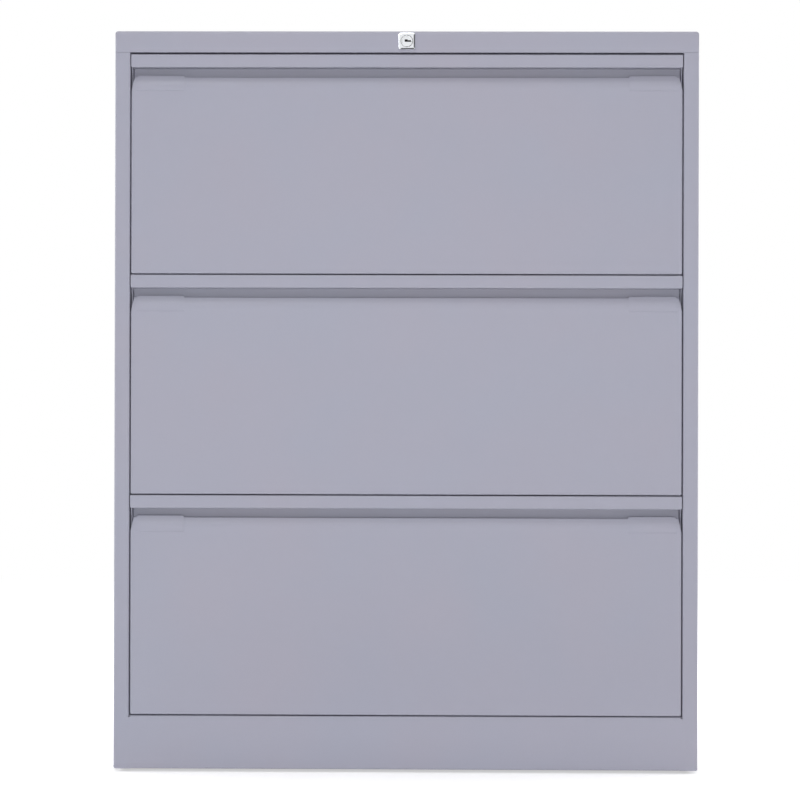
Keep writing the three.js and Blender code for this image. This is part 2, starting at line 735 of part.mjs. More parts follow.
// Corner plate, right hand: a thin plate hooked over the end of the rolled edge
function cornerPlate() {
  const bottom = frontHeight - LIP_HEIGHT - PLATE_DROP;
  const outer = frontHalf - PLATE_INSET;
  const section = rolledEdge(SEAT + PLATE_GAUGE, PLATE_RISE, bottom, PLATE_GAUGE);
  const across = [outer - PLATE_WIDTH, outer];
  const outline = roundedRectangle(across, [bottom, rollTop + PLATE_RISE], 0, PLATE_CORNER);
  return common(
    prism(section, 'x', ...across),
    prism(outline, 'y', frontY - 2 * SHEET, recessBack),
  );
}

// Inner front: the drawer's front wall behind the recess, its top jogged inwards as the front file rail
function innerFront() {
  const section = foldedSheet([
    [innerFrontFace + RAIL_JOG, RAIL_HEIGHT],
    [innerFrontFace + RAIL_JOG, RAIL_HEIGHT - RAIL_EDGE],
    [innerFrontFace, RAIL_HEIGHT - RAIL_EDGE - RAIL_JOG],
    [innerFrontFace, 0],
  ]);
  const half = frontHalf - INNER_FRONT_INSET;
  return prism(section, 'x', -half, half);
}

// Tray: floor and sides of a drawer in one fold, with hemmed top edges, slots for dividers and a lock catch
function tray() {
  const floor = TRAY_FLOOR + SHEET;
  const inner = trayHalf - SHEET;
  const outer = trayHalf + TRAY_HEM;
  const section = foldedSheet([
    [outer, TRAY_HEIGHT - TRAY_HEM_DROP],
    [outer, TRAY_HEIGHT],
    [inner, TRAY_HEIGHT],
    [inner, floor],
    [-inner, floor],
    [-inner, TRAY_HEIGHT],
    [-outer, TRAY_HEIGHT],
    [-outer, TRAY_HEIGHT - TRAY_HEM_DROP],
  ]);
  const catchFront = barBack + CATCH_PLAY;
  const lockCatch = block(
    [trayHalf - SHEET / 2, trayHalf + CATCH_REACH],
    [catchFront, catchFront + CATCH_GAUGE],
    [CATCH_LEVEL, CATCH_LEVEL + CATCH_HEIGHT],
  );
  const perSide = Math.floor((trayHalf - SLOT_INSET) / SLOT_PITCH);
  const columns = Array.from({ length: 2 * perSide + 1 }, (_, index) => (index - perSide) * SLOT_PITCH);
  const rows = [trayFront + SLOT_INSET, trayBack - WALL_LAP - SLOT_INSET];
  const slots = columns.flatMap((x) =>
    rows.map((y) =>
      block(
        [x - SLOT_WIDTH / 2, x + SLOT_WIDTH / 2],
        [y - SLOT_LENGTH / 2, y + SLOT_LENGTH / 2],
        [TRAY_FLOOR - SHEET, floor + SHEET],
      ),
    ),
  );
  return cut(join(prism(section, 'y', trayFront, trayBack), lockCatch), ...slots);
}

// Back wall of a drawer, inside the tray's sides, its top jogged inwards as the rear file rail
function drawerBack() {
  const rear = trayBack - WALL_LAP;
  const bottom = TRAY_FLOOR + SHEET + SEAT;
  const section = foldedSheet([
    [rear - WALL_FLANGE, bottom],
    [rear, bottom],
    [rear, RAIL_HEIGHT - RAIL_EDGE - RAIL_JOG],
    [rear - RAIL_JOG, RAIL_HEIGHT - RAIL_EDGE],
    [rear - RAIL_JOG, RAIL_HEIGHT],
  ]);
  const half = trayHalf - SHEET - BEND - SEAT;
  return prism(section, 'x', -half, half);
}

// Lock housing: a square cushion with a barrel through the fascia, bored for the plug
const lockFaceY = frontY - SEAT - LOCK_PROUD;
const barrelEnd = frontY + BARREL_LENGTH;

function lockHousing() {
  const back = frontY - SEAT;
  const across = [-LOCK_FACE / 2, LOCK_FACE / 2];
  const upright = [lockZ - LOCK_FACE / 2, lockZ + LOCK_FACE / 2];
  const front = roundedRectangle(across, upright, LOCK_CORNER, LOCK_CORNER);
  const plan = roundedRectangle(across, [lockFaceY, back], LOCK_EDGE, 0);
  const side = roundedRectangle([lockFaceY, back + LOCK_EDGE], upright, LOCK_EDGE, LOCK_EDGE);
  const plate = common(
    prism(front, 'y', lockFaceY, back),
    prism(plan, 'z', ...upright),
    prism(side, 'x', ...across),
  );
  const barrel = prism(circle(0, lockZ, BARREL_RADIUS), 'y', lockFaceY + LOCK_EDGE, barrelEnd);
  const plugBore = circle(0, lockZ, PLUG_RADIUS + PLUG_CLEARANCE);
  const bore = prism(plugBore, 'y', lockFaceY - SHEET, barrelEnd + SHEET);
  const ring = circle(0, lockZ, BARREL_RADIUS + SHEET);
  ring.holes.push(circle(0, lockZ, grooveRadius));
  const groove = prism(ring, 'y', clipFront - SEAT, clipFront + CLIP_GAUGE + SEAT);
  return cut(join(plate, barrel), bore, groove);
}

// Lock clip: a flat horseshoe spring, pushed up into the barrel's groove, that holds the housing to the fascia
const clipFront = frontY + SHEET + SEAT;
const grooveRadius = BARREL_RADIUS - CLIP_GROOVE;

function lockClip() {
  const inner = grooveRadius + SEAT;
  const outer = inner + CLIP_WALL;
  const high = lockZ + CLIP_LEG;
  const corner = (x) => new THREE.Vector2(x, high);
  const horseshoe = new THREE.Shape([
    ...arc(0, lockZ, outer, Math.PI, 2 * Math.PI),
    corner(outer),
    corner(inner),
    ...arc(0, lockZ, inner, 2 * Math.PI, Math.PI),
    corner(-inner),
    corner(-outer),
  ]);
  return prism(horseshoe, 'y', clipFront, clipFront + CLIP_GAUGE);
}

// Lock plug, about its own axis: a cylinder with a stepped keyway in its face and a thin tail for the cam
const camBack = linkFront - CAM_GAP;
const camFront = camBack - CAM_GAUGE;

function lockPlug() {
  const profile = [
    [0, lockFaceY],
    [PLUG_RADIUS, lockFaceY],
    [PLUG_RADIUS, barrelEnd],
    [PLUG_TAIL, barrelEnd],
    [PLUG_TAIL, camBack],
    [0, camBack],
  ];
  const facets = arc(0, 0, PLUG_RADIUS, 0, 2 * Math.PI).length - 1;
  const plug = new THREE.LatheGeometry(profile.map(([radius, y]) => new THREE.Vector2(radius, y)), facets);
  const half = KEYWAY_HEIGHT / 2;
  const keyway = polygon(
    [-KEYWAY_LEFT, -half],
    [KEYWAY_RIGHT, -half],
    [KEYWAY_RIGHT, half],
    [half, half],
    [half, half + KEYWAY_STEP],
    [-KEYWAY_LEFT, half + KEYWAY_STEP],
  );
  return cut(plug, prism(keyway, 'y', lockFaceY - SHEET, lockFaceY + KEYWAY_DEPTH));
}

// Lock cam, about the plug's axis: a pear-shaped plate on the plug's tail with a pin that drives the link
function lockCam() {
  const rest = Math.PI / 2 + CAM_TURN / 2;
  const [pinX, pinZ] = [CAM_THROW * Math.cos(rest), CAM_THROW * Math.sin(rest)];
  const flank = Math.acos((CAM_HUB - CAM_TIP) / CAM_THROW);
  const pear = new THREE.Shape([
    ...arc(pinX, pinZ, CAM_TIP, rest - flank, rest + flank),
    ...arc(0, 0, CAM_HUB, rest + flank, rest + 2 * Math.PI - flank),
  ]);
  const plate = prism(pear, 'y', camFront, camBack);
  const bore = prism(circle(0, 0, PLUG_TAIL + SEAT), 'y', camFront - SHEET, camBack + SHEET);
  const pin = prism(circle(pinX, pinZ, PIN_RADIUS), 'y', camFront + CAM_GAUGE / 2, linkBack);
  return join(cut(plate, bore), pin);
}

// Lock link: a flat bar under the top panel with a fork slot for the cam's pin and a slanted one for the bar's
function lockLink() {
  const left = camPinLeft - camSlotRadius - LINK_WALL;
  const slotLeft = barPinX - linkTravel - barSlotRadius - LINK_WALL;
  const right = barPinX + barSlotRadius + LINK_WALL;
  const low = barPinZ - barSlotRadius - LINK_WALL;
  const outline = polygon(
    [left, linkBottom],
    [slotLeft - (linkBottom - low), linkBottom],
    [slotLeft, low],
    [right, low],
    [right, linkTop],
    [left, linkTop],
  );
  outline.holes.push(
    slot([camPinLeft, camPinLow], [camPinLeft, camPinHigh], camSlotRadius),
    slot([barPinX, barPinZ], [barPinX - linkTravel, barPinZ + linkTravel], barSlotRadius),
  );
  return prism(outline, 'y', linkFront, linkBack);
}

// Lock bar: a flat strip beside the runners with a pin at its head and a hook under each drawer's catch
const hookLevel = (number) => drawerLevel(number) + CATCH_LEVEL - HOOK_PLAY - HOOK_HEIGHT;
const barBottom = hookLevel(DRAWERS) - BAR_TAIL;

function lockBar() {
  const headHalf = BAR_PIN_RADIUS + LINK_WALL;
  const headLeft = barPinX - headHalf;
  const tip = barInnerX - HOOK_REACH;
  const teeth = drawerNumbers.flatMap((number) => {
    const z = hookLevel(number);
    return [
      [barInnerX, z + HOOK_HEIGHT],
      [tip, z + HOOK_HEIGHT],
      [tip, z + HOOK_CHAMFER],
      [tip + HOOK_CHAMFER, z],
      [barInnerX, z],
    ];
  });
  const strip = polygon(
    [barInnerX, barBottom],
    [barOuterX, barBottom],
    [barOuterX, barPinZ + headHalf],
    [headLeft, barPinZ + headHalf],
    [headLeft, barPinZ - headHalf],
    [barInnerX, barPinZ - headHalf - (barInnerX - headLeft)],
    ...teeth,
  );
  const pin = prism(circle(barPinX, barPinZ, BAR_PIN_RADIUS), 'y', linkFront, barFront + BAR_GAUGE / 2);
  return join(prism(strip, 'y', barFront, barBack), pin);
}

// A mirrored copy of the frame for left-hand pieces
function leftHand(...pieces) {
  const group = new THREE.Group();
  group.scale.x = -1;
  group.add(...pieces);
  return group;
}

// Both hands of one piece, named by their side
function pair(name, geometry, finish) {
  const group = new THREE.Group();
  group.add(piece(`${name}_right`, geometry, finish), leftHand(piece(`${name}_left`, geometry, finish)));
  return group;
}

function carcass() {
  const group = new THREE.Group();
  const side = sidePanel();
  const highGuide = hookLevel(1) + frontPitch / 3;
  const lowGuide = barBottom + BAR_TAIL / 2;
  group.add(
    piece('top_panel', topPanel(), PAINT),
    piece('right_side_panel', join(side, barGuide(highGuide), barGuide(lowGuide)), PAINT),
    leftHand(piece('left_side_panel', side, PAINT)),
    piece('back_panel', backPanel(), PAINT),
    piece('base_panel', basePanel(), PAINT),
    piece('plinth', plinth(), PAINT),
    pair('upright_front', upright(uprightFrontY), PAINT),
    pair('upright_rear', upright(uprightRearY), PAINT),
  );
  const [front, rear] = footSpots();
  const standing = [['foot_front', front], ['foot_rear', rear]];
  standing.forEach(([name, [x, y]]) => group.add(pair(name, foot().translate(x, y, 0), NYLON)));
  return group;
}

function runners(number) {
  const group = new THREE.Group();
  group.position.z = drawerLevel(number) + RUNNER_LEVEL;
  group.add(
    pair(`runner_${number}_outer`, outerRunner(), ZINC),
    pair(`runner_${number}_mid`, midRunner(), ZINC),
    pair(`runner_${number}_inner`, innerRunner(), ZINC),
  );
  return group;
}

function drawer(number) {
  const group = new THREE.Group();
  group.position.z = drawerLevel(number);
  group.add(
    piece(`drawer_${number}_front_panel`, frontPanel(), PAINT),
    piece(`drawer_${number}_handle_rail`, handleRail(), PAINT),
    pair(`drawer_${number}_corner_plate`, cornerPlate(), PAINT),
    piece(`drawer_${number}_inner_front`, innerFront(), PAINT),
    piece(`drawer_${number}_tray`, tray(), PAINT),
    piece(`drawer_${number}_back`, drawerBack(), PAINT),
  );
  return group;
}

function lock() {
  const turning = new THREE.Group();
  turning.position.z = lockZ;
  turning.add(piece('lock_plug', lockPlug(), CHROME), piece('lock_cam', lockCam(), ZINC));
  const group = new THREE.Group();
  group.add(
    piece('lock_housing', lockHousing(), CHROME),
    piece('lock_clip', lockClip(), ZINC),
    turning,
    piece('lock_link', lockLink(), ZINC),
    piece('lock_bar', lockBar(), ZINC),
  );
  return group;
}

const cabinet = new THREE.Group();
cabinet.add(carcass(), lock());
drawerNumbers.forEach((number) => cabinet.add(runners(number), drawer(number)));

export default cabinet;
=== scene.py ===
import math

import bmesh
import bpy
import numpy as np
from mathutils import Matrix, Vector


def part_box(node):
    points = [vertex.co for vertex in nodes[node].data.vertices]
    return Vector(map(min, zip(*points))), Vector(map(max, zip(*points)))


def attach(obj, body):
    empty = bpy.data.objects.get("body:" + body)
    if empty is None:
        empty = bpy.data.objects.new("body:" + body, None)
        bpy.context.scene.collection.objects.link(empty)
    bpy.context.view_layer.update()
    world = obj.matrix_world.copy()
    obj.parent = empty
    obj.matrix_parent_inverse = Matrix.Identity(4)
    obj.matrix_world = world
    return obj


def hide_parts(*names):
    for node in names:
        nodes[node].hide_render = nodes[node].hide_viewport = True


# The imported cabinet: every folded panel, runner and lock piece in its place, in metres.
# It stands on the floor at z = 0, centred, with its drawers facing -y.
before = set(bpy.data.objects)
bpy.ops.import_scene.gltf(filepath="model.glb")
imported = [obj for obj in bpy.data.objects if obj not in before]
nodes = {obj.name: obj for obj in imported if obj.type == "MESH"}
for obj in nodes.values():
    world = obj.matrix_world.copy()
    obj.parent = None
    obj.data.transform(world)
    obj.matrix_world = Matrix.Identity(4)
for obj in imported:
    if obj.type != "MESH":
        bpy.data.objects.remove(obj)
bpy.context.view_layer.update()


# Carcass: top, sides, back, base, plinth and four uprights, folded from 1 mm steel sheet and spot welded
# together. The folded shapes of the frame stay as they are, shaded round at their folds, and get the paint.
MM = 0.001


def linear(code):
    """An sRGB hex colour as linear RGBA: the low end is a straight line, the rest a power of 2.4."""
    share = np.array([int(code[i:i + 2], 16) for i in (1, 3, 5)]) / 255
    rgb = np.where(share <= 0.04045, share / 12.92, ((share + 0.055) / 1.055) ** 2.4)
    return (*rgb.tolist(), 1.0)


def add(tree, kind, sockets=None, **settings):
    """Adds a node: settings are its own properties, sockets maps an input to a value or a node's output."""
    node = tree.nodes.new(kind)
    for name, value in settings.items():
        setattr(node, name, value)
    for name, value in (sockets or {}).items():
        if isinstance(value, bpy.types.NodeSocket):
            tree.links.new(value, node.inputs[name])
        else:
            node.inputs[name].default_value = value
    return node


def new_finish(name):
    """A material with a bare surface shader: gives the material, its node tree and the shader's inputs."""
    finish = bpy.data.materials.new(name)
    finish.use_nodes = True
    return finish, finish.node_tree, finish.node_tree.nodes["Principled BSDF"].inputs


# Polyester powder, sprayed on and baked: a satin blue-grey skin whose tint drifts a little over a hand's
# breadth, with faint flecks and an orange peel that breaks up the sheen. Real flecks are under 0.2 mm and
# real peel is about 1.5 mm across; they are drawn at 0.9 mm and 3 mm so that they show.
PAINT_COOL = "#A5A8B8"
PAINT_WARM = "#ABA8B6"
PAINT_DRIFT = 140 * MM
PAINT_SPECK = 0.9 * MM
SPECK_DARK = 0.95
SPECK_LIGHT = 1.05
PAINT_SMOOTH = 0.40
PAINT_DULL = 0.52
PAINT_PEEL = 3 * MM
PAINT_PEEL_HEIGHT = 0.06 * MM
PAINT_PEEL_STRENGTH = 0.6
PAINT_IOR = 1.5
MIX_A, MIX_B, MIXED = 6, 7, 2  # a Mix node's two colours going in, and the one coming out

powder_coat, tree, coat = new_finish("powder_coated_steel")
place = add(tree, "ShaderNodeTexCoord").outputs["Object"]
drift = add(tree, "ShaderNodeTexNoise", {"Vector": place, "Scale": 1 / PAINT_DRIFT}).outputs["Fac"]
tint = add(tree, "ShaderNodeMix", {"Factor": drift, MIX_A: linear(PAINT_COOL), MIX_B: linear(PAINT_WARM)},
           data_type="RGBA").outputs[MIXED]
speck = add(tree, "ShaderNodeTexNoise",
            {"Vector": place, "Scale": 1 / PAINT_SPECK, "Detail": 1.0}).outputs["Fac"]
shade = add(tree, "ShaderNodeMapRange",
            {"Value": speck, "To Min": SPECK_DARK, "To Max": SPECK_LIGHT}).outputs["Result"]
flecked = add(tree, "ShaderNodeMix", {"Factor": 1.0, MIX_A: tint, MIX_B: shade},
              data_type="RGBA", blend_type="MULTIPLY").outputs[MIXED]
tree.links.new(flecked, coat["Base Color"])
sheen = add(tree, "ShaderNodeMapRange", {"Value": drift, "To Min": PAINT_SMOOTH, "To Max": PAINT_DULL})
tree.links.new(sheen.outputs["Result"], coat["Roughness"])
peel = add(tree, "ShaderNodeTexNoise", {"Vector": place, "Scale": 1 / PAINT_PEEL}).outputs["Fac"]
peeled = add(tree, "ShaderNodeBump",
             {"Height": peel, "Distance": PAINT_PEEL_HEIGHT, "Strength": PAINT_PEEL_STRENGTH})
tree.links.new(peeled.outputs["Normal"], coat["Normal"])
coat["IOR"].default_value = PAINT_IOR

# A node group that welds loose triangles into one skin and shades smoothly over every edge that turns by
# less than FOLD_TURN, so that a fold made of a few flats looks round and a cut edge stays sharp.
FOLD_TURN = math.radians(35)
LOOSE_GAP = 0.001 * MM
FLAT_WEIGHT = 100

folds = bpy.data.node_groups.new("round_folds", "GeometryNodeTree")
folds.interface.new_socket("Geometry", in_out="INPUT", socket_type="NodeSocketGeometry")
folds.interface.new_socket("Geometry", in_out="OUTPUT", socket_type="NodeSocketGeometry")
given = add(folds, "NodeGroupInput").outputs[0]
bare = add(folds, "GeometryNodeRemoveAttribute", {"Geometry": given, "Name": "custom_normal"}).outputs[0]
welded = add(folds, "GeometryNodeMergeByDistance", {"Geometry": bare, "Distance": LOOSE_GAP}).outputs[0]
turn = add(folds, "GeometryNodeInputMeshEdgeAngle").outputs["Unsigned Angle"]
gentle = add(folds, "FunctionNodeCompare", {0: turn, 1: FOLD_TURN}, operation="LESS_THAN").outputs[0]
smooth = add(folds, "GeometryNodeSetShadeSmooth", {"Geometry": welded}, domain="FACE").outputs[0]
edged = add(folds, "GeometryNodeSetShadeSmooth", {"Geometry": smooth, "Shade Smooth": gentle}, domain="EDGE")
add(folds, "NodeGroupOutput", {0: edged.outputs[0]})


def round_folds(piece):
    """Shades a piece's folds round and keeps its flats flat: big faces outweigh small ones beside them."""
    piece.modifiers.new("round_folds", "NODES").node_group = folds
    weighted = piece.modifiers.new("flat_faces", "WEIGHTED_NORMAL")
    weighted.keep_sharp = True
    weighted.weight = FLAT_WEIGHT


def coat_node(name, finish):
    """Gives a node of the frame its finish and shades its folds round."""
    for held in nodes[name].material_slots:
        held.link = "OBJECT"
        held.material = finish
    round_folds(nodes[name])


SIDES = {"right": 1, "left": -1}
ENDS = ("front", "rear")
PANELS = ["top_panel", "right_side_panel", "left_side_panel", "back_panel", "base_panel", "plinth"]
UPRIGHTS = [f"upright_{end}_{side}" for end in ENDS for side in SIDES]
for name in PANELS + UPRIGHTS:
    coat_node(name, powder_coat)


# Levelling feet: a black nylon pad with a hexagon for the spanner, moulded round a zinc-plated M8 stud that
# screws into the side panel's shelf. Each pad and stud is turned about the foot's own upright axis.
PAD_RIM = 5 * MM
PAD_ROUND = 1.2 * MM
NECK_RADIUS = 7.5 * MM
SHOULDER = 15.7 * MM
STUD_RADIUS = 4 * MM
THREAD_PITCH = 1.25 * MM
THREAD_DEPTH = 0.6 * MM
TURN_STEPS = 48
THREAD_STEPS = 10

# Glass-filled nylon, injection moulded: near black, dull, with a fine moulded grain that scatters the light.
NYLON_BLACK = "#1C1D1F"
NYLON_GREY = "#26272A"
NYLON_GRAIN = 0.4 * MM
NYLON_GRAIN_HEIGHT = 0.05 * MM
NYLON_SMOOTH = 0.48
NYLON_DULL = 0.64
NYLON_IOR = 1.53
BUMP_STRENGTH = 0.5

moulded_nylon, tree, coat = new_finish("moulded_black_nylon")
place = add(tree, "ShaderNodeTexCoord").outputs["Object"]
grain = add(tree, "ShaderNodeTexNoise",
            {"Vector": place, "Scale": 1 / NYLON_GRAIN, "Detail": 3.0}).outputs["Fac"]
tint = add(tree, "ShaderNodeMix", {"Factor": grain, MIX_A: linear(NYLON_BLACK), MIX_B: linear(NYLON_GREY)},
           data_type="RGBA")
tree.links.new(tint.outputs[MIXED], coat["Base Color"])
dull = add(tree, "ShaderNodeMapRange", {"Value": grain, "To Min": NYLON_SMOOTH, "To Max": NYLON_DULL})
tree.links.new(dull.outputs["Result"], coat["Roughness"])
rough = add(tree, "ShaderNodeBump",
            {"Height": grain, "Distance": NYLON_GRAIN_HEIGHT, "Strength": BUMP_STRENGTH})
tree.links.new(rough.outputs["Normal"], coat["Normal"])
coat["IOR"].default_value = NYLON_IOR

# Bright zinc plate on rolled strip: a pale metal with a bluish cast that goes yellowish in patches, and fine
# streaks along the rolling direction, here y. The streaks are 0.5 mm wide and a hand long.
ZINC_BLUE = "#B9BFC6"
ZINC_STRAW = "#C6C3B8"
ZINC_PATCH = 25 * MM
ZINC_STREAK = (0.5 * MM, 90 * MM, 0.5 * MM)
ZINC_STREAK_HEIGHT = 0.01 * MM
ZINC_BRIGHT = 0.22
ZINC_DULL = 0.42

zinc_plate, tree, coat = new_finish("bright_zinc_plated_steel")
place = add(tree, "ShaderNodeTexCoord").outputs["Object"]
patch = add(tree, "ShaderNodeTexNoise", {"Vector": place, "Scale": 1 / ZINC_PATCH}).outputs["Fac"]
tint = add(tree, "ShaderNodeMix", {"Factor": patch, MIX_A: linear(ZINC_BLUE), MIX_B: linear(ZINC_STRAW)},
           data_type="RGBA")
tree.links.new(tint.outputs[MIXED], coat["Base Color"])
rolled = add(tree, "ShaderNodeMapping", {"Vector": place, "Scale": [1 / size for size in ZINC_STREAK]})
streak = add(tree, "ShaderNodeTexNoise", {"Vector": rolled.outputs[0], "Scale": 1.0}).outputs["Fac"]
gloss = add(tree, "ShaderNodeMapRange", {"Value": streak, "To Min": ZINC_BRIGHT, "To Max": ZINC_DULL})
tree.links.new(gloss.outputs["Result"], coat["Roughness"])
drawn = add(tree, "ShaderNodeBump",
            {"Height": streak, "Distance": ZINC_STREAK_HEIGHT, "Strength": BUMP_STRENGTH})
tree.links.new(drawn.outputs["Normal"], coat["Normal"])
coat["Metallic"].default_value = 1.0

MERGE = 0.0001 * MM  # points of a skin that are closer than this become one


def skin(name, grid, closed=False):
    """A mesh over grids of points: the four neighbours of each cell make one face.

    grid is an array (rows, columns, 3), or (copies, rows, columns, 3), in metres. With closed, the last
    column joins the first. Points that meet at a pole or a seam are merged, and the faces of a closed skin
    are turned outwards.
    """
    grid = grid.reshape(-1, *grid.shape[-3:])
    index = np.arange(grid.size // 3).reshape(grid.shape[:3])
    if closed:
        index = np.concatenate([index, index[:, :, :1]], axis=2)
    corners = (index[:, :-1, :-1], index[:, :-1, 1:], index[:, 1:, 1:], index[:, 1:, :-1])
    mesh = bpy.data.meshes.new(name)
    mesh.from_pydata(grid.reshape(-1, 3).tolist(), [], np.stack(corners, axis=-1).reshape(-1, 4).tolist())
    work = bmesh.new()
    work.from_mesh(mesh)
    bmesh.ops.remove_doubles(work, verts=work.verts, dist=MERGE)
    bmesh.ops.dissolve_degenerate(work, dist=MERGE, edges=work.edges)
    if closed:
        bmesh.ops.recalc_face_normals(work, faces=work.faces)
    work.to_mesh(mesh)
    work.free()
    piece = bpy.data.objects.new(name, mesh)
    bpy.context.scene.collection.objects.link(piece)
    return piece


def fit(piece, finish, slot, body, *replaced):
    """Gives a new piece its finish, round folds and body, and hides the nodes that it stands for. The slot
    is not used.
    """
    piece.data.materials.append(finish)
    round_folds(piece)
    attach(piece, body)
    if replaced:
        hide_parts(*replaced)
    return piece


def quarter(centre, radius, start, steps=6):
    """A quarter circle about a centre, counter-clockwise from a start angle in degrees, as points."""
    angle = np.radians(start + np.linspace(0, 90, steps + 1))
    return np.stack([centre[0] + radius * np.cos(angle), centre[1] + radius * np.sin(angle)], axis=1)


def foot_pad(middle, radius, low):
    """Turned about the foot's axis: the radius follows a rounded rim, a sloping top and a neck.

    The neck's radius is multiplied by cos 30 degrees / cos(angle from the middle of the nearest of six
    flats), which makes it a hexagon with its corners at NECK_RADIUS.
    """
    rim = np.vstack([
        [(0, 0)],
        quarter((radius - PAD_ROUND, PAD_ROUND), PAD_ROUND, 270),
        quarter((radius - PAD_ROUND, PAD_RIM - PAD_ROUND), PAD_ROUND, 0),
    ])
    waist = (PAD_RIM + SHOULDER) / 2
    neck = np.array([(NECK_RADIUS, waist), (NECK_RADIUS, SHOULDER - PAD_ROUND / 2),
                     (NECK_RADIUS - PAD_ROUND / 2, SHOULDER), (0, SHOULDER)])
    profile = np.vstack([rim, neck])
    six = np.concatenate([np.zeros(len(rim)), np.ones(len(neck))])[:, None]
    angle = np.linspace(0, 2 * np.pi, TURN_STEPS, endpoint=False)
    flat = np.cos(np.pi / 6) / np.cos((angle + np.pi / 6) % (np.pi / 3) - np.pi / 6)
    reach = profile[:, :1] * (1 - six + six * flat)
    up = np.broadcast_to(low + profile[:, 1:], reach.shape)
    return np.stack([middle[0] + reach * np.cos(angle), middle[1] + reach * np.sin(angle), up], axis=-1)


def stud(middle, low, high):
    """Turned about the same axis: the radius falls from the crest by a triangle wave.

    The wave's phase is height / pitch - angle / full turn, so that it climbs as a helix. At both ends the
    crest fades into the root.
    """
    height = np.linspace(low, high, int((high - low) / THREAD_PITCH * THREAD_STEPS))[:, None]
    angle = np.linspace(0, 2 * np.pi, TURN_STEPS, endpoint=False)
    phase = (height / THREAD_PITCH - angle / (2 * np.pi)) % 1
    groove = 1 - np.abs(2 * phase - 1)
    fade = np.clip(np.minimum(height - low, high - height) / THREAD_PITCH, 0, 1)
    reach = STUD_RADIUS - THREAD_DEPTH * (1 - fade * (1 - groove))
    reach = np.vstack([reach[:1] * 0, reach, reach[-1:] * 0])
    up = np.broadcast_to(np.vstack([height[:1], height, height[-1:]]), reach.shape)
    return np.stack([middle[0] + reach * np.cos(angle), middle[1] + reach * np.sin(angle), up], axis=-1)


for end in ENDS:
    for side in SIDES:
        node = f"foot_{end}_{side}"
        low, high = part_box(node)
        middle = (low + high) / 2
        pad = skin(f"{node}_pad", foot_pad(middle, (high.x - low.x) / 2, low.z), closed=True)
        fit(pad, moulded_nylon, "nylon", f"{end}_{side}_foot", node)
        screw = skin(f"{node}_stud", stud(middle, low.z + SHOULDER, high.z), closed=True)
        fit(screw, zinc_plate, "zinc", f"{end}_{side}_foot", node)


# Plinth welds: the plinth is welded to the stiles down both ends and the beads are dressed nearly flush, so
# that only a faint line shows. They stop short of the plinth's top, where the folds' relief stays open as a
# small notch.
WELD_HALF = 3 * MM
WELD_STEPS = 6
WELD_HOLLOW = 0.08 * MM
WELD_DEPTH = 0.02 * MM
WELD_STOP = 3 * MM
WELD_GAUGE = 0.6 * MM


def dressed_weld(middle, face, low, high):
    """A strip carried up z: across it, the face falls back by a parabola that is deepest at the seam."""
    across = np.linspace(-1, 1, WELD_STEPS + 1)
    back = face + WELD_DEPTH + WELD_HOLLOW * (1 - across**2)
    up = np.array([[low], [high]])
    return np.stack(np.broadcast_arrays(middle + WELD_HALF * across, back, up), axis=-1)


low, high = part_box("plinth")
for name, side in SIDES.items():
    weld = skin(f"plinth_weld_{name}", dressed_weld(side * high.x, low.y, low.z, high.z - WELD_STOP))
    weld.modifiers.new("wall", "SOLIDIFY").thickness = WELD_GAUGE
    fit(weld, powder_coat, "paint", "carcass")


# Runners: three members of rolled zinc-plated strip on each side of each drawer. The outer and inner members
# keep the frame's shape; the middle one is a channel with steel balls, held in flat cages, between its
# flanges and the members on either side.
DRAWERS = (1, 2, 3)
STRIP = 1.2 * MM
STRIP_BEND = 2.4 * MM
MID_FLANGE = 8 * MM
MID_HALF = 16.8 * MM
RACE_MARGIN = 12 * MM
BALL_RACES = {"outer": (4.5 * MM, 1), "inner": (4.0 * MM, -1)}  # the gap, outside or inside the flange
BALL_PITCH = 11 * MM
BALL_PLAY = 0.3 * MM
CAGE_HALF = 2.6 * MM
CAGE_GAUGE = 0.7 * MM

# Ground and polished bearing steel: a clear, dark-edged reflection with only a trace of haze from grease.
STEEL = "#C9CBCE"
STEEL_HAZE = 6 * MM
STEEL_CLEAR = 0.08
STEEL_GREASY = 0.24

bearing_steel, tree, coat = new_finish("polished_bearing_steel")
place = add(tree, "ShaderNodeTexCoord").outputs["Object"]
grease = add(tree, "ShaderNodeTexNoise", {"Vector": place, "Scale": 1 / STEEL_HAZE}).outputs["Fac"]
haze = add(tree, "ShaderNodeMapRange", {"Value": grease, "To Min": STEEL_CLEAR, "To Max": STEEL_GREASY})
tree.links.new(haze.outputs["Result"], coat["Roughness"])
coat["Base Color"].default_value = linear(STEEL)
coat["Metallic"].default_value = 1.0


def rounded(corners, radii, steps=8):
    """A line through corners with an arc at each inner corner.

    An arc starts radius x tan(turn / 2) before its corner, and its points are the spoke from its centre
    turned evenly through the angle between the two runs.
    """
    corners = np.asarray(corners, float)
    run = np.diff(corners, axis=0)
    way = run / np.linalg.norm(run, axis=1, keepdims=True)
    left = np.stack([-way[:-1, 1], way[:-1, 0]], axis=1)
    turn = np.arctan2((left * way[1:]).sum(1), (way[:-1] * way[1:]).sum(1))
    radii = np.broadcast_to(radii, turn.shape)
    start = corners[1:-1] - way[:-1] * (radii * np.tan(np.abs(turn) / 2))[:, None]
    spoke = -left * (np.sign(turn) * radii)[:, None]
    angle = turn[:, None] * np.linspace(0, 1, steps + 1)
    along, across = np.cos(angle)[..., None], np.sin(angle)[..., None]
    square = np.stack([-spoke[:, 1], spoke[:, 0]], axis=1)
    arcs = (start - spoke)[:, None] + along * spoke[:, None] + across * square[:, None]
    return np.vstack([corners[:1], arcs.reshape(-1, 2), corners[-1:]])


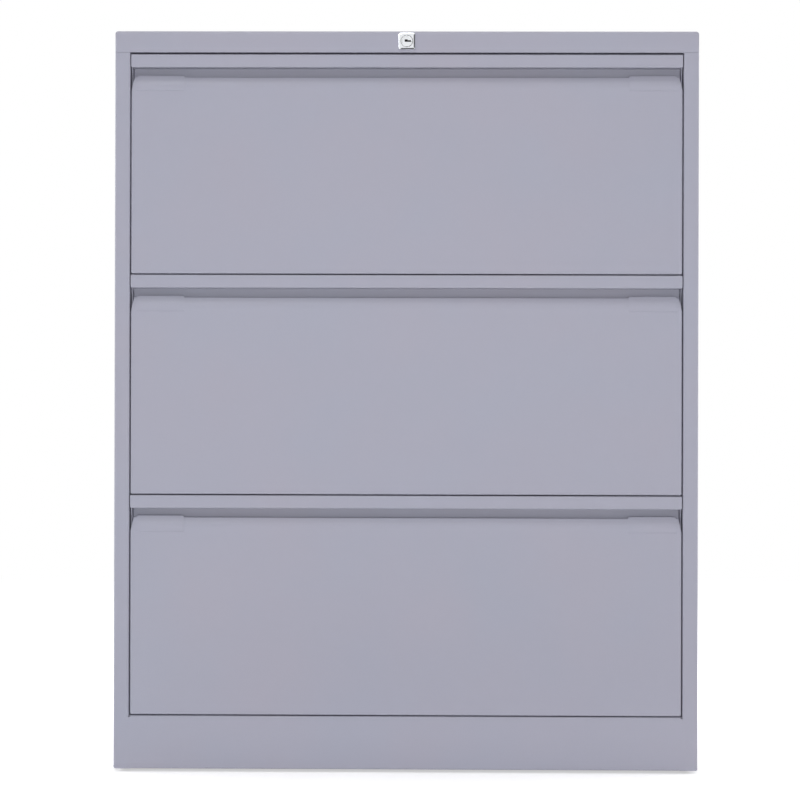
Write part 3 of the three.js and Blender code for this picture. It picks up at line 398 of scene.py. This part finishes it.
def give_wall(piece, gauge):
    """Makes a sheet of a skin: the wall grows inwards from the skin's outer face by the metal's gauge."""
    wall = piece.modifiers.new("wall", "SOLIDIFY")
    wall.thickness = gauge
    wall.offset = -1
    wall.use_even_offset = True
    return piece


def channel(side, outer_x, level, from_y, to_y):
    """The channel's section, three runs with round folds, carried along y."""
    inner_x = outer_x - MID_FLANGE
    corners = [(inner_x, -MID_HALF), (outer_x, -MID_HALF), (outer_x, MID_HALF), (inner_x, MID_HALF)]
    section = (rounded(corners, STRIP_BEND) * (side, 1))[::side]
    along = np.array([from_y, to_y])
    return np.stack(np.broadcast_arrays(section[:, :1], along, level + section[:, 1:]), axis=-1)


def balls(spots, radius, rows=7, columns=10):
    """Spheres: radius times the sine and cosine of latitude and longitude, about each spot."""
    latitude = np.linspace(-np.pi / 2, np.pi / 2, rows)[:, None]
    longitude = np.linspace(0, 2 * np.pi, columns, endpoint=False)
    around = np.cos(latitude)
    ball = np.broadcast_arrays(around * np.cos(longitude), around * np.sin(longitude), np.sin(latitude))
    return spots[:, None, None, :] + radius * np.stack(ball, axis=-1)


def bars(spots, half):
    """Square-edged bars about each spot: four corners carried along y, with both ends drawn to a point."""
    section = np.array([(1, -1, 1), (1, -1, -1), (-1, -1, -1), (-1, -1, 1)])
    rows = np.stack([section * (0, 1, 0), section, section * (1, -1, 1), section * (0, -1, 0)])
    return spots[:, None, None, :] + rows * half


for number in DRAWERS:
    for name, side in SIDES.items():
        coat_node(f"runner_{number}_outer_{name}", zinc_plate)
        coat_node(f"runner_{number}_inner_{name}", zinc_plate)
        node = f"runner_{number}_mid_{name}"
        low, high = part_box(node)
        level = (low.z + high.z) / 2
        outer_x = max(abs(low.x), abs(high.x))
        middle_x = side * (outer_x - MID_FLANGE / 2)
        body = f"drawer_{number}_telescope"
        member = skin(f"{node}_channel", channel(side, outer_x, level, low.y, high.y))
        fit(give_wall(member, STRIP), zinc_plate, "zinc", body, node)
        halfway = (low.y + high.y) / 2
        reach = {"outer": (halfway, high.y - RACE_MARGIN), "inner": (low.y + RACE_MARGIN, halfway)}
        for race, (size, outwards) in BALL_RACES.items():
            from_y, to_y = reach[race]
            face = MID_HALF if outwards > 0 else MID_HALF - STRIP
            away = face + outwards * size / 2
            levels = [level - away, level + away]
            along = np.arange(from_y + size, to_y - size, BALL_PITCH)
            spots = np.stack(np.meshgrid([middle_x], along, levels), axis=-1).reshape(-1, 3)
            bearings = skin(f"{node}_{race}_balls", balls(spots, (size - BALL_PLAY) / 2), closed=True)
            fit(bearings, bearing_steel, "zinc", body)
            middles = np.array([(middle_x, (from_y + to_y) / 2, up) for up in levels])
            cage_half = (CAGE_HALF, (to_y - from_y) / 2, CAGE_GAUGE / 2)
            cage = skin(f"{node}_{race}_cages", bars(middles, cage_half), closed=True)
            fit(cage, zinc_plate, "zinc", body)


# Drawer bodies: tray, back wall and inner front of painted 1 mm sheet, spot welded. The inner members of the
# runners are riveted through the tray's sides, so three low steel heads show on each side inside a drawer.
RIVET_RADIUS = 4.5 * MM
RIVET_RISE = 1.4 * MM
RIVET_SEAT = 1.3 * MM  # from the runner's face to the tray's inner face: a gap and the sheet
RIVETS_PER_SIDE = 3
RIVET_FROM_END = 60 * MM


def rivet_heads(spots, side, rows=5, columns=16):
    """Low domes on a wall that faces x: the rise is a quarter ellipse of the distance from the middle."""
    angle = np.linspace(0, np.pi / 2, rows)[:, None]
    around = np.linspace(0, 2 * np.pi, columns, endpoint=False)
    out = RIVET_RADIUS * np.cos(angle)
    rise = -side * RIVET_RISE * np.sin(angle)
    dome = np.stack(np.broadcast_arrays(rise, out * np.cos(around), out * np.sin(around)), axis=-1)
    base = dome[:1] * (1, 0, 0)
    return spots[:, None, None, :] + np.concatenate([base, dome])


for number in DRAWERS:
    for part in ("tray", "back", "inner_front"):
        coat_node(f"drawer_{number}_{part}", powder_coat)
    low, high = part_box(f"runner_{number}_inner_right")
    along = np.linspace(low.y + RIVET_FROM_END, high.y - RIVET_FROM_END, RIVETS_PER_SIDE)
    wall = low.x - RIVET_SEAT
    for name, side in SIDES.items():
        spots = np.stack(np.broadcast_arrays(side * wall, along, (low.z + high.z) / 2), axis=-1)
        heads = skin(f"drawer_{number}_rivets_{name}", rivet_heads(spots, side), closed=True)
        fit(heads, zinc_plate, "zinc", f"drawer_{number}")


# Drawer fronts: a folded pan whose top edge leans back and rolls over as the finger grip, a handle rail
# folded into the square lip and the recess behind it and closed by a tab at each end, and a thin plate over
# each end of the rolled edge. All are painted sheet.
SHEET = 1.0 * MM
FOLD = 2.2 * MM
FOLD_STEPS = 8
FOLD_SHARPENS = 0.9  # the pan's side folds tighten by this share on the way up to the roll
LEAN = math.radians(36)
LEAN_RADIUS = 20 * MM
ROLL_RADIUS = 2.8 * MM
ROLL_STEPS = 14
ROLL_DEPTH = 9 * MM
ROLL_HEM = 8 * MM
END_TAPER = 4 * MM
FLANGE_LAP = 2 * MM
LIP_HEIGHT = 18.2 * MM
LIP_RETURN = 13 * MM
LIP_HEM = 5 * MM
LIP_CHAMFER = 1.5 * MM
FLOOR_LAP = 4 * MM
RAIL_END_INSET = 0.2 * MM
PLATE_GAUGE = 0.6 * MM
PLATE_CORNER = 3 * MM


def rolled_edge(face, bottom, roll_y, roll_top, lean_radius, hem_bottom):
    """The section of a rolled edge as (y, z): up the face, back along the lean, over the roll, down its hem.

    The lean is the line at LEAN that touches the roll's circle; it meets the face and the hem where y is
    theirs.
    """
    touch_y = roll_y - ROLL_RADIUS * math.cos(LEAN)
    touch_z = roll_top - ROLL_RADIUS + ROLL_RADIUS * math.sin(LEAN)
    hem = roll_y + ROLL_RADIUS
    lean_at = [touch_z + (y - touch_y) / math.tan(LEAN) for y in (face, hem)]
    corners = [(face, bottom), (face, lean_at[0]), (hem, lean_at[1]), (hem, hem_bottom)]
    return rounded(corners, [lean_radius, ROLL_RADIUS], ROLL_STEPS)


def front_pan(low, high):
    """A pan with round edges: x turns by the angle a at its sides and z by the angle b at its lower edge.

    With r the fold's radius, a point stands r sin a outwards, r cos a sin b down and r (1 - cos a cos b)
    back from where the flat face ends, so a corner is part of a ball. Above the pan, the rolled edge's
    section takes over and the sides narrow. The outermost columns and the lowest row run straight back as
    flanges.
    """
    hem_bottom = high.z - ROLL_RADIUS - ROLL_HEM
    section = rolled_edge(low.y, low.z + FOLD, low.y + ROLL_DEPTH, high.z, LEAN_RADIUS, hem_bottom)
    flange_top = section[1, 1] - FLANGE_LAP
    section = np.insert(section, 1, (low.y, flange_top), axis=0)
    fold = np.linspace(np.pi / 2, 0, FOLD_STEPS + 1)
    a = np.concatenate([fold[:1], fold, fold[::-1], fold[:1]])
    side = np.repeat([-1, 1], FOLD_STEPS + 2)
    b = np.concatenate([fold[:1], fold[:-1], np.zeros(len(section))])[:, None]
    below = np.repeat(section[:1], FOLD_STEPS + 1, axis=0)
    face_y, face_z = np.hsplit(np.vstack([below, section]), 2)
    climb = np.maximum.accumulate(np.clip((face_z - flange_top) / (high.z - flange_top), 0, 1))
    radius = FOLD * (1 - FOLD_SHARPENS * climb)
    x = side * (high.x - END_TAPER * climb - radius * (1 - np.sin(a)))
    y = face_y + radius * (1 - np.cos(a) * np.cos(b))
    z = face_z - radius * np.cos(a) * np.sin(b)
    y[0] = high.y
    y[:, [0, -1]] = np.where(face_z <= flange_top, high.y, y[:, [0, -1]])
    return np.stack([x, y, z], axis=-1)


def handle_rail(low, high):
    """The rail's section, seven corners from the lip's hem round to the recess floor, carried along x.

    The ends draw in over the last LIP_CHAMFER above the lip's lower edge.
    """
    lip = high.z - LIP_HEIGHT
    hem = low.y + LIP_RETURN
    floor_front = low.y + ROLL_DEPTH + ROLL_RADIUS - FLOOR_LAP
    section = rounded([(hem, lip + LIP_HEM), (hem, lip), (low.y, lip), (low.y, high.z), (high.y, high.z),
                       (high.y, low.z), (floor_front, low.z)], FOLD)
    y, z = np.hsplit(section, 2)
    draw_in = LIP_CHAMFER * np.clip(1 - np.abs(z - lip) / LIP_CHAMFER, 0, 1) * (y <= hem + FOLD)
    x = np.array([-1, 1]) * (high.x - draw_in)
    return np.stack(np.broadcast_arrays(x, y, z), axis=-1)


def rail_end(side, low, high, roll_top):
    """A tab over the rail's end: rows up z, each straight back from the tab's front edge to the back wall.

    The front edge stands behind the roll, slants forward across the finger gap and goes straight up behind
    the lip.
    """
    lip = high.z - LIP_HEIGHT
    behind_roll = low.y + ROLL_DEPTH + ROLL_RADIUS
    behind_lip = low.y + LIP_RETURN / 2
    front = np.array([behind_roll, behind_roll, behind_lip, behind_lip])[:, None]
    z = np.array([low.z + SHEET / 2, roll_top, lip, high.z - SHEET / 2])[:, None]
    y = front + (high.y - SHEET / 2 - front) * np.array([0, 1])[::side]
    return np.stack(np.broadcast_arrays(side * (high.x - RAIL_END_INSET), y, z), axis=-1)


def corner_plate(low, high, front, hem_bottom):
    """A rolled edge's section that follows the pan's own, carried along x, its ends drawn in at the top.

    Its lower edge curls in to the pan on a quarter circle. Near the top, the ends draw in by
    r - sqrt(r^2 - rise^2), with r the corner's radius.
    """
    stand_off = front.y - low.y
    rise = high.z - front.z
    roll_y = front.y + ROLL_DEPTH + (rise * math.sin(LEAN) - stand_off) / math.cos(LEAN)
    section = rolled_edge(low.y, low.z, roll_y, high.z, LEAN_RADIUS + stand_off, hem_bottom)
    curl = quarter((front.y, low.z + stand_off), stand_off, 180)[::-1]
    y, z = np.hsplit(np.vstack([curl, section[1:]]), 2)
    rising = np.clip(z - (high.z - PLATE_CORNER), 0, PLATE_CORNER)
    draw_in = PLATE_CORNER - np.sqrt(PLATE_CORNER**2 - rising**2)
    x = np.where([True, False], low.x + draw_in, high.x - draw_in)
    return np.stack(np.broadcast_arrays(x, y, z), axis=-1)


for number in DRAWERS:
    drawer = f"drawer_{number}"
    low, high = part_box(f"{drawer}_front_panel")
    pan = skin(f"{drawer}_front_pan", front_pan(low, high))
    fit(give_wall(pan, SHEET), powder_coat, "paint", drawer, f"{drawer}_front_panel")
    rail_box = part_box(f"{drawer}_handle_rail")
    rail = skin(f"{drawer}_handle", handle_rail(*rail_box))
    fit(give_wall(rail, SHEET), powder_coat, "paint", drawer, f"{drawer}_handle_rail")
    rolled_top = Vector((0, low.y, high.z))
    hem_bottom = high.z - ROLL_RADIUS - ROLL_HEM
    for name, side in SIDES.items():
        tab = skin(f"{drawer}_handle_end_{name}", rail_end(side, *rail_box, high.z))
        fit(give_wall(tab, SHEET), powder_coat, "paint", drawer)
        node = f"{drawer}_corner_plate_{name}"
        plate = skin(f"{node}_cover", corner_plate(*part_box(node), rolled_top, hem_bottom))
        fit(give_wall(plate, PLATE_GAUGE), powder_coat, "paint", drawer, node)


# Lock: a square chrome-plated housing held in the fascia by a spring clip, with a round plug that carries a
# stepped keyway. Behind the fascia its cam drives a link and a bar with hooks, all of zinc-plated strip, as
# in the frame.
LOCK_CORNER = 3 * MM
LOCK_EDGE = 3.4 * MM
LOCK_SEAT = 0.3 * MM
BORE_RADIUS = 8.3 * MM
BORE_EDGE = 0.25 * MM
BARREL_RADIUS = 10 * MM
GROOVE_RADIUS = 9.2 * MM
PLUG_RADIUS = 8 * MM
PLUG_EDGE = 0.7 * MM
PLUG_DISH = 0.25 * MM
PLUG_TAIL = 4 * MM
KEYWAY = np.array([(-3, -1.1), (6, -1.1), (6, 1.1), (1.1, 1.1), (1.1, 2.3), (-3, 2.3)]) * MM
KEYWAY_EYE = np.array([0.5, 0.0]) * MM
KEYWAY_DEPTH = 11 * MM
KEYWAY_SLACK = 1e-6  # the share of an edge by which a ray may miss its end
WAFER_DEPTH = 1.2 * MM
WAFER_GAUGE = 0.8 * MM
WAFER_SHARE = 0.97  # of the keyway's reach from its eye
LOCK_STEPS = 96

# Decorative chrome on a polished zinc casting: a bright, nearly white mirror, a little softer where it has
# been wiped.
CHROME = "#E9EBEE"
CHROME_WIPE = 4 * MM
CHROME_CLEAR = 0.05
CHROME_WIPED = 0.18

chrome_plate, tree, coat = new_finish("polished_chrome_plate")
place = add(tree, "ShaderNodeTexCoord").outputs["Object"]
wipe = add(tree, "ShaderNodeTexNoise",
           {"Vector": place, "Scale": 1 / CHROME_WIPE, "Detail": 3.0}).outputs["Fac"]
soft = add(tree, "ShaderNodeMapRange", {"Value": wipe, "To Min": CHROME_CLEAR, "To Max": CHROME_WIPED})
tree.links.new(soft.outputs["Result"], coat["Roughness"])
coat["Base Color"].default_value = linear(CHROME)
coat["Metallic"].default_value = 1.0

# Oiled steel for the wafers behind the keyway: its near-black is painted shade, the dark of a deep hole.
WAFER_SHADE_BLACK = "#0E0E10"
WAFER_SHADE_BROWN = "#1A1714"
WAFER_FILM = 4 * MM
WAFER_DULL = 0.6
WAFER_SHINE = 0.2

keyway_shade_steel, tree, coat = new_finish("keyway_shade_black_steel")
place = add(tree, "ShaderNodeTexCoord").outputs["Object"]
film = add(tree, "ShaderNodeTexNoise", {"Vector": place, "Scale": 1 / WAFER_FILM}).outputs["Fac"]
tint = add(tree, "ShaderNodeMix", {"Factor": film, MIX_A: linear(WAFER_SHADE_BLACK), MIX_B: linear(WAFER_SHADE_BROWN)},
           data_type="RGBA")
tree.links.new(tint.outputs[MIXED], coat["Base Color"])
coat["Roughness"].default_value = WAFER_DULL
coat["Specular IOR Level"].default_value = WAFER_SHINE

low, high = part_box("lock_housing")
lock_middle = (low + high) / 2
face_y, barrel_end = low.y, high.y
lock_half = (high.x - low.x) / 2
fascia_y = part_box("top_panel")[0].y
clip_low, clip_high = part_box("lock_clip")
angle = np.linspace(0, 2 * np.pi, LOCK_STEPS, endpoint=False)


def beside_lock(flat, y):
    """Points of a flat outline, given as (across, up) from the lock's axis, at a depth y."""
    across, up = flat[..., 0], flat[..., 1]
    return np.stack(np.broadcast_arrays(lock_middle.x + across, y, lock_middle.z + up), axis=-1)


def about_lock(reach, turned, y):
    """Points at a reach from the lock's axis, turned by an angle about it, at a depth y."""
    return beside_lock(np.stack([reach * np.cos(turned), reach * np.sin(turned)], axis=-1), y)


def lock_housing():
    """Rings about the lock's axis, each a mix of a circle and a square with round corners.

    The square's reach is half its width / (|cos|^p + |sin|^p)^(1/p), where p makes its diagonal that of a
    square whose corners have the radius LOCK_CORNER. The rings go up the barrel with its clip groove, round
    the plate's edge, over the face, down the bore's edge and back through the bore.
    """
    diagonal = math.sqrt(2) * lock_half
    power = 1 / math.log2(diagonal / (diagonal - (math.sqrt(2) - 1) * LOCK_CORNER))
    square = (np.abs(np.cos(angle)) ** power + np.abs(np.sin(angle)) ** power) ** (-1 / power)
    plate_back = fascia_y - LOCK_SEAT
    edge = quarter((lock_half - LOCK_EDGE, 0), LOCK_EDGE, 0)
    rings = [(0, BORE_RADIUS, barrel_end), (0, BARREL_RADIUS, barrel_end),
             (0, BARREL_RADIUS, clip_high.y), (0, GROOVE_RADIUS, clip_high.y),
             (0, GROOVE_RADIUS, clip_low.y), (0, BARREL_RADIUS, clip_low.y),
             (0, BARREL_RADIUS, plate_back), (1, lock_half, plate_back)]
    rings += [(1, size, face_y + LOCK_EDGE - drop) for size, drop in edge]
    rings += [(0, BORE_RADIUS + BORE_EDGE, face_y), (0, BORE_RADIUS + BORE_EDGE / 4, face_y + BORE_EDGE / 4),
              (0, BORE_RADIUS, face_y + BORE_EDGE), (0, BORE_RADIUS, barrel_end)]
    squareness, size, depth = np.array(rings).T[:, :, None]
    return about_lock(size * (1 + squareness * (square - 1)), angle, depth)


def keyway_outline(turned):
    """Where rays from the keyway's eye leave its outline: the nearest crossing of a ray with an edge."""
    start = KEYWAY - KEYWAY_EYE
    run = np.roll(start, -1, axis=0) - start
    ray = np.stack([np.cos(turned), np.sin(turned)], axis=-1)[:, None]
    across = ray[..., 0] * run[:, 1] - ray[..., 1] * run[:, 0]
    across = np.where(across == 0, np.inf, across)
    reach = (start[:, 0] * run[:, 1] - start[:, 1] * run[:, 0]) / across
    share = (start[:, 0] * ray[..., 1] - start[:, 1] * ray[..., 0]) / across
    crosses = (reach > 0) & (share >= -KEYWAY_SLACK) & (share <= 1 + KEYWAY_SLACK)
    hit = np.where(crosses, reach, np.inf).min(axis=1)
    return KEYWAY_EYE + hit[:, None] * ray[:, 0]


def lock_plug(tail_end):
    """Rings about the lock's axis from the tail to the dished face, then in to the keyway and down it."""
    corner = np.arctan2(*(KEYWAY - KEYWAY_EYE).T[::-1])
    turned = np.sort(np.concatenate([angle, corner % (2 * np.pi)]))
    dish = face_y + PLUG_DISH
    rim = PLUG_RADIUS - 2 * PLUG_EDGE
    edge = quarter((PLUG_RADIUS - PLUG_EDGE, face_y + PLUG_EDGE), PLUG_EDGE, 270)[::-1]
    tail = [(0, tail_end), (PLUG_TAIL, tail_end), (PLUG_TAIL, barrel_end), (PLUG_RADIUS, barrel_end)]
    rings = np.vstack([tail, edge, [(rim, face_y), (rim - PLUG_DISH, dish)]])
    turned_part = about_lock(rings[:, :1], turned, rings[:, 1:])
    hole = keyway_outline(turned)
    eye = np.broadcast_to(KEYWAY_EYE, hole.shape)
    bottom = dish + KEYWAY_DEPTH
    keyed = np.stack([beside_lock(hole, dish), beside_lock(hole, bottom), beside_lock(eye, bottom)])
    return np.concatenate([turned_part, keyed])


def wafers():
    """A plate just inside the keyway's outline: from its eye to its rim, back by its gauge and in again."""
    reach = WAFER_SHARE * (keyway_outline(angle) - KEYWAY_EYE)
    flat = KEYWAY_EYE + np.array([0, 1, 1, 0])[:, None, None] * reach
    depth = face_y + WAFER_DEPTH + WAFER_GAUGE * np.array([0, 0, 1, 1])[:, None]
    return beside_lock(flat, depth)


housing = skin("lock_housing_chrome", lock_housing(), closed=True)
fit(housing, chrome_plate, "chrome", "carcass", "lock_housing")
plug = skin("lock_plug_chrome", lock_plug(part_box("lock_plug")[1].y), closed=True)
fit(plug, chrome_plate, "chrome", "lock_turning", "lock_plug")
# The wafer plate sits just inside the keyway; its near-black finish is painted shade for the deep hole.
fit(skin("lock_wafers", wafers(), closed=True), keyway_shade_steel, "chrome", "lock_turning")
for name in ("lock_clip", "lock_cam", "lock_link", "lock_bar"):
    coat_node(name, zinc_plate)


# Studio: a wide white floor and an even white room. What the camera or a mirror sees of the room is plain
# white; the floor is lifted towards white for them too and keeps a soft shadow.
FLOOR_HALF = 30.0
FLOOR_WHITE = "#F4F4F4"
FLOOR_PALE = "#EFEFEF"
FLOOR_MOTTLE = 0.25
FLOOR_DULL = 0.9
FLOOR_SHINE = 0.1
FLOOR_LIFT = 0.45
FADE_FROM = 0.9
FADE_TO = 3.0
ROOM_LIGHT = 0.2

floor_mesh = bpy.data.meshes.new("floor")
corners = np.array([(-1, -1, 0), (1, -1, 0), (1, 1, 0), (-1, 1, 0)]) * FLOOR_HALF
floor_mesh.from_pydata(corners.tolist(), [], [(0, 1, 2, 3)])
floor = bpy.data.objects.new("floor", floor_mesh)
bpy.context.scene.collection.objects.link(floor)


def seen_directly(tree):
    """1 for a ray from the camera, a mirror or a clear body, else 0."""
    path = add(tree, "ShaderNodeLightPath").outputs
    camera_or_mirror = {0: path["Is Camera Ray"], 1: path["Is Glossy Ray"]}
    seen = add(tree, "ShaderNodeMath", camera_or_mirror, operation="MAXIMUM").outputs[0]
    through = path["Is Transmission Ray"]
    return add(tree, "ShaderNodeMath", {0: seen, 1: through}, operation="MAXIMUM").outputs[0]


# White paper: lit like any other surface for the light that it throws back. Seen directly it glows a little,
# and with the distance from the cabinet it fades into the plain white of the room.
paper, tree, coat = new_finish("white_paper_floor")
place = add(tree, "ShaderNodeTexCoord").outputs["Object"]
fibre = add(tree, "ShaderNodeTexNoise", {"Vector": place, "Scale": 1 / FLOOR_MOTTLE}).outputs["Fac"]
tint = add(tree, "ShaderNodeMix", {"Factor": fibre, MIX_A: linear(FLOOR_WHITE), MIX_B: linear(FLOOR_PALE)},
           data_type="RGBA")
tree.links.new(tint.outputs[MIXED], coat["Base Color"])
coat["Roughness"].default_value = FLOOR_DULL
coat["Specular IOR Level"].default_value = FLOOR_SHINE
seen = seen_directly(tree)
away = add(tree, "ShaderNodeVectorMath", {0: place}, operation="LENGTH").outputs["Value"]
far = add(tree, "ShaderNodeMapRange", {"Value": away, "From Min": FADE_FROM, "From Max": FADE_TO},
          interpolation_type="SMOOTHSTEP").outputs["Result"]
fade = add(tree, "ShaderNodeMath", {0: far, 1: seen}, operation="MULTIPLY").outputs[0]
lift = add(tree, "ShaderNodeMath", {0: seen, 1: FLOOR_LIFT}, operation="MULTIPLY").outputs[0]
glow = add(tree, "ShaderNodeEmission", {"Strength": lift}).outputs[0]
near = add(tree, "ShaderNodeAddShader", {0: tree.nodes["Principled BSDF"].outputs[0], 1: glow}).outputs[0]
white = add(tree, "ShaderNodeEmission", {"Strength": 1.0}).outputs[0]
faded = add(tree, "ShaderNodeMixShader", {0: fade, 1: near, 2: white})
tree.links.new(faded.outputs[0], tree.nodes["Material Output"].inputs["Surface"])
floor_mesh.materials.append(paper)

room = bpy.data.worlds.new("white_room")
room.use_nodes = True
bpy.context.scene.world = room
tree = room.node_tree
seen = seen_directly(tree)
level = add(tree, "ShaderNodeMapRange", {"Value": seen, "To Min": ROOM_LIGHT, "To Max": 1.0}).outputs[0]
tree.nodes["Background"].inputs["Color"].default_value = (1, 1, 1, 1)
tree.links.new(level, tree.nodes["Background"].inputs["Strength"])
bpy.context.scene.view_settings.view_transform = "Standard"


# Lamps: a high soft one from the front left, a small one behind the camera that reaches into the recesses,
# one above for the top and the floor, and one for each side and the back. Each entry is the spot, the length
# of a side in metres and the power in watts; only the small one is kept out of mirrors.
LAMPS = {
    "key_lamp": ((-1.3, -2.9, 5.2), 2.2, 49),
    "front_lamp": ((0.1, -3.5, 0.5), 0.3, 48),
    "top_lamp": ((0.0, 0.6, 5.0), 2.4, 40),
    "left_lamp": ((-4.2, 0.6, 1.8), 2.4, 80),
    "right_lamp": ((4.2, 0.6, 1.8), 2.4, 80),
    "back_lamp": ((0.5, 4.6, 2.2), 2.4, 100),
}
LAMP_AIM = Vector((0, 0, 0.5))

for name, (spot, size, power) in LAMPS.items():
    lamp = bpy.data.lights.new(name, "AREA")
    lamp.size = size
    lamp.energy = power
    holder = bpy.data.objects.new(name, lamp)
    holder.location = spot
    holder.rotation_euler = (LAMP_AIM - Vector(spot)).to_track_quat("-Z", "Y").to_euler()
    holder.visible_glossy = name != "front_lamp"
    bpy.context.scene.collection.objects.link(holder)


# Flags: two sheets of grey felt, to the right of the cabinet and low in front of it, that are seen only in
# reflections. They draw the dark right and lower edges on the lock's chrome.
FLAG_GREY = "#5C5C5E"
FLAG_DARK = "#4C4C4E"
FLAG_NAP = 25 * MM
FLAGS = {
    "right_flag": [(1.6, -3.2, 0.6), (1.6, 1.2, 0.6), (1.6, 1.2, 2.2), (1.6, -3.2, 2.2)],
    "low_flag": [(-0.34, -2.6, 0.05), (1.2, -2.6, 0.05), (1.2, -0.4, 0.05), (-0.34, -0.4, 0.05)],
}

# Wool felt, pressed: dull, and a little mottled where the nap lies another way.
felt, tree, coat = new_finish("grey_felt_flag")
place = add(tree, "ShaderNodeTexCoord").outputs["Object"]
nap = add(tree, "ShaderNodeTexNoise", {"Vector": place, "Scale": 1 / FLAG_NAP}).outputs["Fac"]
tint = add(tree, "ShaderNodeMix", {"Factor": nap, MIX_A: linear(FLAG_DARK), MIX_B: linear(FLAG_GREY)},
           data_type="RGBA")
tree.links.new(tint.outputs[MIXED], coat["Base Color"])
coat["Roughness"].default_value = 1.0

for name, outline in FLAGS.items():
    sheet = bpy.data.meshes.new(name)
    sheet.from_pydata(outline, [], [(0, 1, 2, 3)])
    sheet.materials.append(felt)
    flag = bpy.data.objects.new(name, sheet)
    bpy.context.scene.collection.objects.link(flag)
    flag.visible_camera = False
    flag.visible_diffuse = False
    flag.visible_transmission = False
    flag.visible_shadow = False


# Camera: a long lens at half the cabinet's height, 2.8 m in front of it and two centimetres to the right,
# turned a touch to the left and rolled so that level lines fall slightly to the right, as in the photograph.
CAMERA_SPOT = Vector((0.0212, -3.035, 0.5103))
CAMERA_AIM = Vector((-0.0081, -0.235, 0.5103))
CAMERA_LENS = 92.0
CAMERA_ROLL = math.radians(0.15)

view = bpy.data.cameras.new("front_view")
view.lens = CAMERA_LENS
camera = bpy.data.objects.new("front_view", view)
camera.location = CAMERA_SPOT
camera.rotation_euler = (CAMERA_AIM - CAMERA_SPOT).to_track_quat("-Z", "Y").to_euler()
camera.rotation_euler.rotate_axis("Z", CAMERA_ROLL)
bpy.context.scene.collection.objects.link(camera)
bpy.context.scene.camera = camera
